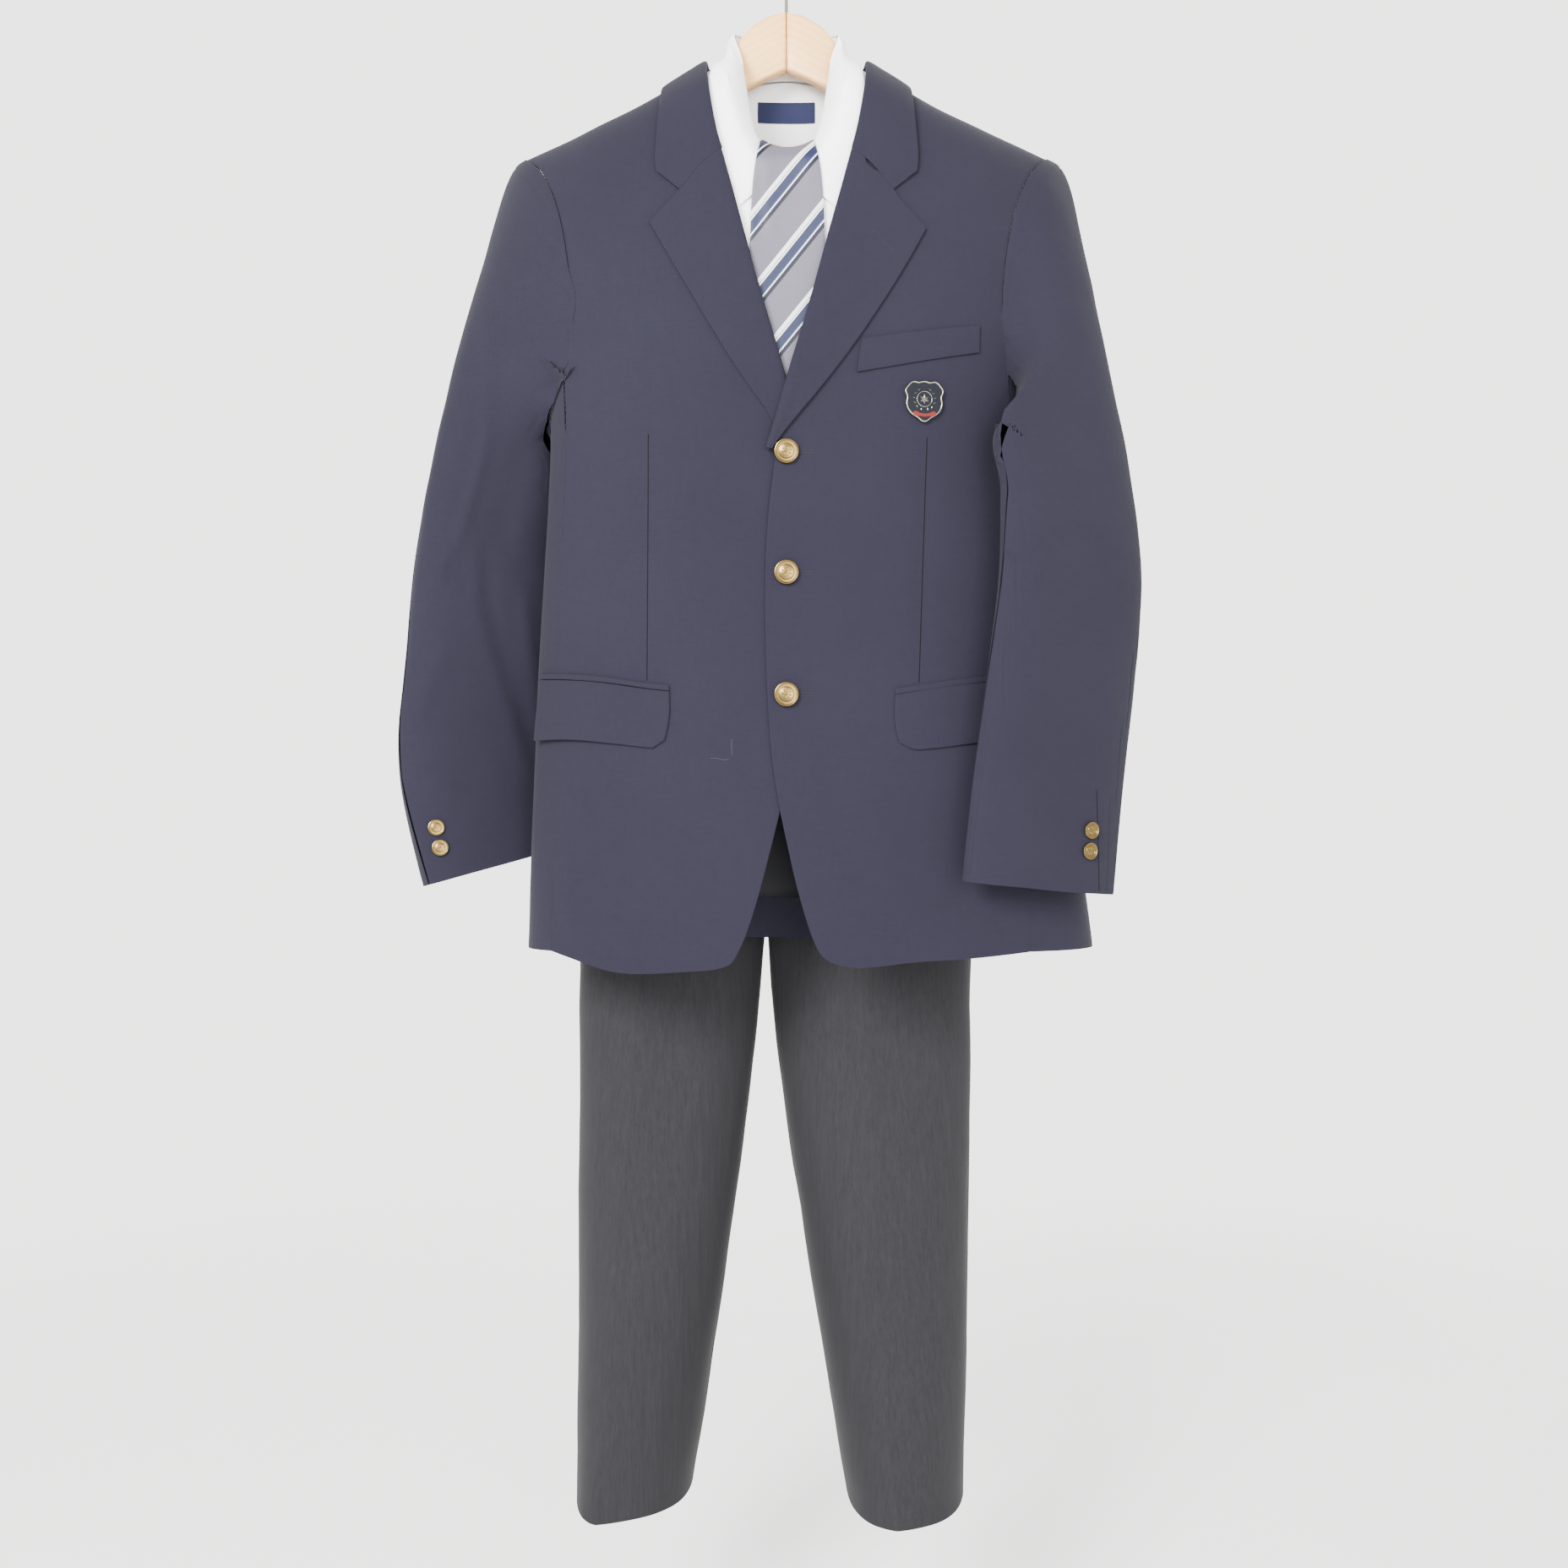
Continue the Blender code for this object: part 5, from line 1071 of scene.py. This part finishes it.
class UNIFORM_OT_badge(bpy.types.Operator):
    """Shield with a plain star, two sprigs and a ribbon"""

    bl_idname = "uniform.badge"
    bl_label = "Badge"

    def execute(self, context):
        back, out, thick = axis_of("jacket_badge")
        side = Vector((0, 0, 1)).cross(-out).normalized() * -1
        up = out.cross(side).normalized()
        if up.z < 0:
            side, up = -side, -up
        turn = Matrix((side, -out, up)).transposed().to_4x4()
        place = Matrix.Translation(back + out * thick / 2) @ turn
        outline = [(x * MM, z * MM) for x, z in SHIELD + [(-x, z) for x, z in SHIELD[-2:0:-1]]]
        inner = [(x * 0.93, z * 0.93 - 0.0001) for x, z in outline]
        plate = outlined(inner, 2.4 * MM, 0.3 * MM, place)
        settle(plate, "badge_field", "enamel", "chrome", "jacket_badge")
        front = -1.25 * MM  # local y of the field's face
        rim = [place @ Vector((x * 0.955, front * 0.5, z * 0.955)) for x, z in outline]
        tube("badge_rim", rim, 1.9 * MM, "silver", "chrome", cyclic=True)
        ring = [
            place @ Vector((6.3 * MM * math.cos(a), front - 0.05 * MM, 6.3 * MM * math.sin(a) + 1.2 * MM))
            for a in np.arange(0, 6.2, 0.39)
        ]
        tube("badge_ring", ring, 0.75 * MM, "silver", "chrome", cyclic=True)
        star = []
        for i in range(12):
            reach, angle = (4.6 if i % 2 == 0 else 2.2) * MM, math.tau * i / 12 + math.pi / 2
            star.append((reach * math.cos(angle), reach * math.sin(angle)))
        deselect()
        bpy.ops.mesh.primitive_cone_add(vertices=12, radius1=4.6 * MM, depth=0.9 * MM)
        shape = bpy.context.object
        for vert, (x, z) in zip([v for v in shape.data.vertices if v.co.z < 0], star):
            vert.co.x, vert.co.y = x, z
        raised = Matrix.Translation((0, front - 0.3 * MM, 1.2 * MM)) @ Matrix.Rotation(math.pi / 2, 4, "X")
        shape.data.transform(place @ raised)
        settle(shape, "badge_star", "silver", "chrome", smooth=20)
        leaf = stitch(2.3, 0.8)
        spots = []
        for sign in (-1, 1):
            for i in range(6):
                angle = math.radians(-72 + 26 * i)
                across, height = sign * 9.0 * math.cos(angle) * MM, (9.0 * math.sin(angle) + 1.2) * MM
                lean = Matrix.Rotation(-(sign * (math.pi / 2 - angle) + 0.35 * sign), 4, "Y")
                upright = Matrix.Rotation(math.pi / 2, 4, "Y")
                spots.append(place @ Matrix.Translation((across, front - 0.1 * MM, height)) @ lean @ upright)
        settle(copies(leaf, spots), "badge_sprigs", "silver", "chrome")
        ribbon = [(-9, -9.2), (-3, -10.6), (3, -10.6), (9, -9.2), (9.4, -11.6), (3, -13.2), (-3, -13.2), (-9.4, -11.6)]
        fore = place @ Matrix.Translation((0, front, 0))
        band = outlined([(x * MM, z * MM) for x, z in ribbon], 1.0 * MM, 0.2 * MM, fore)
        settle(band, "badge_ribbon", "red", "chrome")
        return {"FINISHED"}


# ---------------------------------------------------------------- shirt, label, tie
class UNIFORM_OT_shirt(bpy.types.Operator):
    """Shirt fronts, back, yoke, sleeves and collar"""

    bl_idname = "uniform.shirt"
    bl_label = "Shirt"

    def execute(self, context):
        for side, sign in SIDES.items():
            dress(
                f"shirt_front_{side}", "cotton", "white_cotton", FRONT, level=2, groove=0.2,
            )
            dress(
                f"shirt_sleeve_{side}", "cotton", "white_cotton", (sign, 0, 0), level=2,
                groove=0.2, spread=0.75,
            )
        dress(
            "shirt_back", "cotton", "white_cotton", BACK, level=2, groove=0.2
        )
        dress(
            "shirt_yoke", "cotton", "white_cotton", (0, 0, 1), level=2, groove=0.2, spread=0.75,
        )
        dress(
            "shirt_collar_stand", "cotton", "white_cotton", level=2, groove=0.1, spread=0.1,
            ripple=0.5,
        )
        dress(
            "shirt_collar_leaf", "cotton", "white_cotton", level=2, groove=0.15, spread=0.1,
            ripple=0.6,
        )
        return {"FINISHED"}


class UNIFORM_OT_label(bpy.types.Operator):
    """Plain neck label"""

    bl_idname = "uniform.label"
    bl_label = "Label"

    def execute(self, context):
        dress(
            "shirt_label", "label", "woven_label", FRONT, level=2, groove=0.1, ripple=0.5,
        )
        return {"FINISHED"}


class UNIFORM_OT_tie(bpy.types.Operator):
    """Striped tie, laid over the neckband"""

    bl_idname = "uniform.tie"
    bl_label = "Tie"

    def execute(self, context):
        folds = [([(-20, -206), (-18, -240), (-14, -300)], 7, 0.5, 0.4), ([(16, -205), (20, -245)], 7, 0.5, 0)]
        dress(
            "tie", "silk", "striped_silk", FRONT, folds=folds, groove=0.3, spread=0, ripple=0.7,
        )
        return {"FINISHED"}


# ---------------------------------------------------------------- trousers
# Where the pressed creases run: z and x.
PRESSED = {
    "right": [(-560, -108), (-640, -108), (-780, -118), (-905, -130), (-1131, -146), (-1265, -157), (-1377, -164)],
    "left": [(-560, 88), (-640, 86), (-780, 78), (-905, 70.6), (-1131, 77.3), (-1265, 81.7), (-1377, 94.7)],
}
LEG_FOLDS = {
    "right": [
        ([(-186, -1130), (-160, -1142), (-120, -1136)], 9, -1.0, 0.6),
        ([(-150, -1250), (-130, -1190), (-90, -1140)], 22, 1.6, 0),
        ([(-120, -1180), (-80, -1240), (-90, -1330)], 22, -1.4, 0),
        ([(-172, -1000), (-168, -1120), (-176, -1300)], 14, -1.6, 0),
        ([(-60, -960), (-76, -1040), (-80, -1100)], 18, 1.2, 0),
    ],
    "left": [
        ([(84, -1150), (108, -1142), (140, -1126), (164, -1130)], 8, -1.6, 1.0),
        ([(30, -1128), (60, -1138), (84, -1134)], 8, -0.9, 0.5),
        ([(96, -1180), (120, -1250), (126, -1340)], 20, 1.5, 0),
        ([(56, -1190), (66, -1270), (70, -1350)], 16, -1.4, 0),
        ([(20, -940), (40, -1030), (44, -1090)], 18, 1.2, 0),
    ],
}
BACK_LEG_FOLDS = [
    ([(-150, -1120), (-110, -1136), (-60, -1124)], 10, -1.4, 0.8),
    ([(60, -1124), (100, -1138), (150, -1118)], 10, -1.4, 0.8),
    ([(-120, -640), (-60, -680), (-24, -660)], 12, -1.6, 1.0),
    ([(110, -640), (50, -680), (10, -660)], 12, -1.6, 1.0),
]


def pressed(side):
    """True at a point on a leg's pressed crease."""
    heights, places = np.array(PRESSED[side], float)[::-1].T

    def at(point):
        x, z = point.x / MM, point.z / MM
        return z < -575 and abs(x - np.interp(z, heights, places)) < 7

    return at


class UNIFORM_OT_trousers(bpy.types.Operator):
    """Legs with pressed creases, waistband, fly and button"""

    bl_idname = "uniform.trousers"
    bl_label = "Trousers"

    def execute(self, context):
        for side in SIDES:
            dress(
                f"trousers_front_{side}", "charcoal", "charcoal_wool", FRONT,
                folds=LEG_FOLDS[side], ripple=2.0,
                crease_at=pressed(side), smooth=35,
            )
            dress(
                f"trousers_back_{side}", "charcoal", "charcoal_wool", BACK, folds=BACK_LEG_FOLDS,
                ripple=2.0,
                crease_at=pressed(side), smooth=35,
            )
        dress(
            "trousers_waistband", "charcoal", "charcoal_wool", level=2, groove=0.3, ripple=1.0
        )
        dress(
            "trousers_fly", "charcoal", "charcoal_wool", FRONT, level=2, groove=0.3, spread=0,
            ripple=0.5,
        )
        waist_button()
        return {"FINISHED"}


def waist_button():
    back, out, _ = axis_of("trousers_button")
    piece = turn_profile([(6.8, 0), (7.5, 0.6), (7.5, 1.8), (7.0, 2.3), (6.2, 2.3), (5.6, 1.7), (0.4, 1.5)], 32)
    place = Matrix.Translation(back) @ out.to_track_quat("Z", "Y").to_matrix().to_4x4()
    piece.data.transform(place)
    settle(piece, "waist_button", "horn", "horn", "trousers_button")
    spots = [place @ Matrix.Translation((x * MM, 0, 1.75 * MM)) for x in (-1.2, 1.2)]
    upright = [spot @ Matrix.Rotation(math.pi / 2, 4, "Z") for spot in spots]
    settle(copies(stitch(3.4, 0.8), upright), "waist_button_thread", "navy_thread", "charcoal_wool")


# ---------------------------------------------------------------- hangers
ARM_TOP = -64.5  # where the hook leaves the wood
HOOK_RADIUS, HOOK_WIRE, CLIP_HOOK_Y, ROD_Y = 18.5, 3.0, 3.4, 79


def hook_route(y, stem):
    centre = -HOOK_RADIUS + HOOK_WIRE / 2
    angles = np.radians(np.arange(-40, 211, 16.6))
    arc = [(HOOK_RADIUS * math.cos(a), y, centre + HOOK_RADIUS * math.sin(a)) for a in angles]
    return [Vector(p) * MM for p in stem + arc]


class UNIFORM_OT_hangers(bpy.types.Operator):
    """Wooden hanger with its hook, and the clip hanger behind"""

    bl_idname = "uniform.hangers"
    bl_label = "Hangers"

    def execute(self, context):
        for side, sign in SIDES.items():
            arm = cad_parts[f"hanger_arm_{side}"]
            data = arm.data.copy()
            bm = bmesh.new()
            bm.from_mesh(data)
            bmesh.ops.remove_doubles(bm, verts=bm.verts, dist=1e-5)
            bmesh.ops.dissolve_limit(bm, angle_limit=math.radians(2), verts=bm.verts, edges=bm.edges)
            bm.to_mesh(data)
            bm.free()
            piece = bpy.data.objects.new(f"arm_{side}", data)
            context.scene.collection.objects.link(piece)
            settle(piece, f"arm_{side}", "maple", "maple", f"hanger_arm_{side}", smooth=50)
        stem = [(0, 0, ARM_TOP + 0.3), (0, 0, -57), (0, 0, -50), (1, 0, -45), (4.5, 0, -39)]
        tube("hook", hook_route(0, stem), HOOK_WIRE * MM, "silver", "chrome", "hanger_hook")
        down = [
            (-7.5, ROD_Y, -316.2), (-7.5, ROD_Y, -220), (-7.5, ROD_Y, -130), (-4, 77, -104), (0, 66, -85),
            (0, 34, -63),
            (0, 14, -51), (0.5, CLIP_HOOK_Y + 2, -46), (4.5, CLIP_HOOK_Y, -39),
        ]
        tube("clip_wire", hook_route(CLIP_HOOK_Y, down), HOOK_WIRE * MM, "silver", "chrome", "clip_hanger_wire")
        rod = [Vector((x * MM, ROD_Y * MM, -0.318)) for x in (-130, -60, 50, 115)]
        tube("clip_rod", rod, HOOK_WIRE * MM, "silver", "chrome", "clip_hanger_rod")
        for i in (1, 2):
            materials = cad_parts[f"clip_hanger_clip_{i}"].data.materials
            materials.clear()
            materials.append(look("silver"))
        return {"FINISHED"}


LINT = [  # stray threads on the right front
    [(-45.3, -703), (-45.6, -709), (-45.0, -716)],
    [(-62.8, -718.6), (-57, -718.9), (-52, -720), (-48.1, -719.4)],
]


class UNIFORM_OT_lint(bpy.types.Operator):
    """Two stray threads on the blazer"""

    bl_idname = "uniform.lint"
    bl_label = "Stray threads"

    def execute(self, context):
        cloth = tree_of("jacket_front_right_cloth")
        for i, line in enumerate(LINT):
            points = []
            for x, z in line:
                place, normal = laid(cloth, x, z)
                points.append(place + normal * 0.15 * MM)
            tube(f"stray_thread_{i + 1}", points, 0.28 * MM, "pale_thread", "navy_wool", sides=1)
        return {"FINISHED"}


# ---------------------------------------------------------------- stage
CAMERA = (-2.1, -1495, -740)
HALF_VIEW = math.atan(928 / 2014.3)  # half of the photograph's angle
# Lamps: place and size in metres, and share of the key's power.
LAMPS = [((-1.3, -2.6, 0.5), 1.0, 1.0), ((0.7, -3.0, -0.4), 1.5, 0.45), ((0.4, 2.6, 0.6), 1.6, 0.4)]
LIT = Vector((0, 0, -0.65))  # what the lamps point at
FLOOR_RADIUS = 2.5
FADE = (0.5, 5.5)  # the floor fades out between these squares of the distance from its middle


def backdrop_material():
    """Pale, fading out far from the middle so that no edge of the floor shows."""
    shader = Shader("pale_floor", 0.9)
    tint = tuple(setting("stage").backdrop)
    shader.feed("Base Color", shader.mix(shader.noise(3, 2), tint, tuple(c * 0.98 for c in tint)))
    reach = shader.x * shader.x + shader.y * shader.y
    shader.feed("Alpha", 1 - shader.smoothstep(reach, *FADE))
    return shader.material


class UNIFORM_OT_stage(bpy.types.Operator):
    """Camera, soft lamps, pale surroundings and floor"""

    bl_idname = "uniform.stage"
    bl_label = "Stage"

    def execute(self, context):
        stage = setting("stage")
        deselect()
        bpy.ops.object.camera_add(location=Vector(CAMERA) * MM, rotation=(math.pi / 2, 0, 0))
        camera = context.object
        camera.data.sensor_fit = "HORIZONTAL"
        camera.data.angle = 2 * HALF_VIEW
        camera.data.clip_start = 0.05
        context.scene.camera = camera
        world = bpy.data.worlds.new("pale_room")
        room = Nodes(world, "Background", "Generated")
        room.surface.inputs["Color"].default_value = (*stage.backdrop, 1)
        upright = room.smoothstep(abs(room.z), 0.45, 0.9)
        room.feed("Strength", stage.walls + upright * (stage.ceiling - stage.walls))
        context.scene.world = world
        for place, size, share in LAMPS:
            bpy.ops.object.light_add(type="AREA", location=place)
            lamp = context.object
            lamp.data.size, lamp.data.energy = size, stage.key * share
            lamp.rotation_euler = (LIT - lamp.location).to_track_quat("-Z", "Y").to_euler()
        bpy.ops.mesh.primitive_circle_add(
            vertices=64, radius=FLOOR_RADIUS, fill_type="NGON", location=(0, 0, stage.floor)
        )
        floor = context.object
        bpy.ops.object.transform_apply(location=True)
        floor.name = "floor"
        floor.data.materials.append(backdrop_material())
        return {"FINISHED"}


class UNIFORM_PT_panel(bpy.types.Panel):
    """Lists the steps in order"""

    bl_label = "School uniform"
    bl_idname = "UNIFORM_PT_panel"
    bl_space_type = "VIEW_3D"
    bl_region_type = "UI"
    bl_category = "Uniform"

    def draw(self, context):
        for key in SETTINGS:
            box = self.layout.box()
            for name in SETTINGS[key].__annotations__:
                box.prop(getattr(context.scene, key), name)
        for step in STEPS:
            self.layout.operator(step.bl_idname)


STEPS = (
    UNIFORM_OT_stage, UNIFORM_OT_hangers, UNIFORM_OT_shirt, UNIFORM_OT_label, UNIFORM_OT_tie,
    UNIFORM_OT_trousers,
    UNIFORM_OT_blazer, UNIFORM_OT_sleeves, UNIFORM_OT_collar, UNIFORM_OT_pockets, UNIFORM_OT_seams,
    UNIFORM_OT_stitching,
    UNIFORM_OT_buttons, UNIFORM_OT_badge, UNIFORM_OT_lint,
)
CLASSES = (*SETTINGS.values(), *STEPS, UNIFORM_PT_panel)


def register():
    for kind in CLASSES:
        bpy.utils.register_class(kind)
    for name, kind in SETTINGS.items():
        setattr(bpy.types.Scene, name, PointerProperty(type=kind))


def unregister():
    for name in SETTINGS:
        delattr(bpy.types.Scene, name)
    for kind in reversed(CLASSES):
        bpy.utils.unregister_class(kind)


def main():
    register()
    for step in STEPS:
        group, name = step.bl_idname.split(".")
        getattr(getattr(bpy.ops, group), name)()


if __name__ == "__main__":
    main()
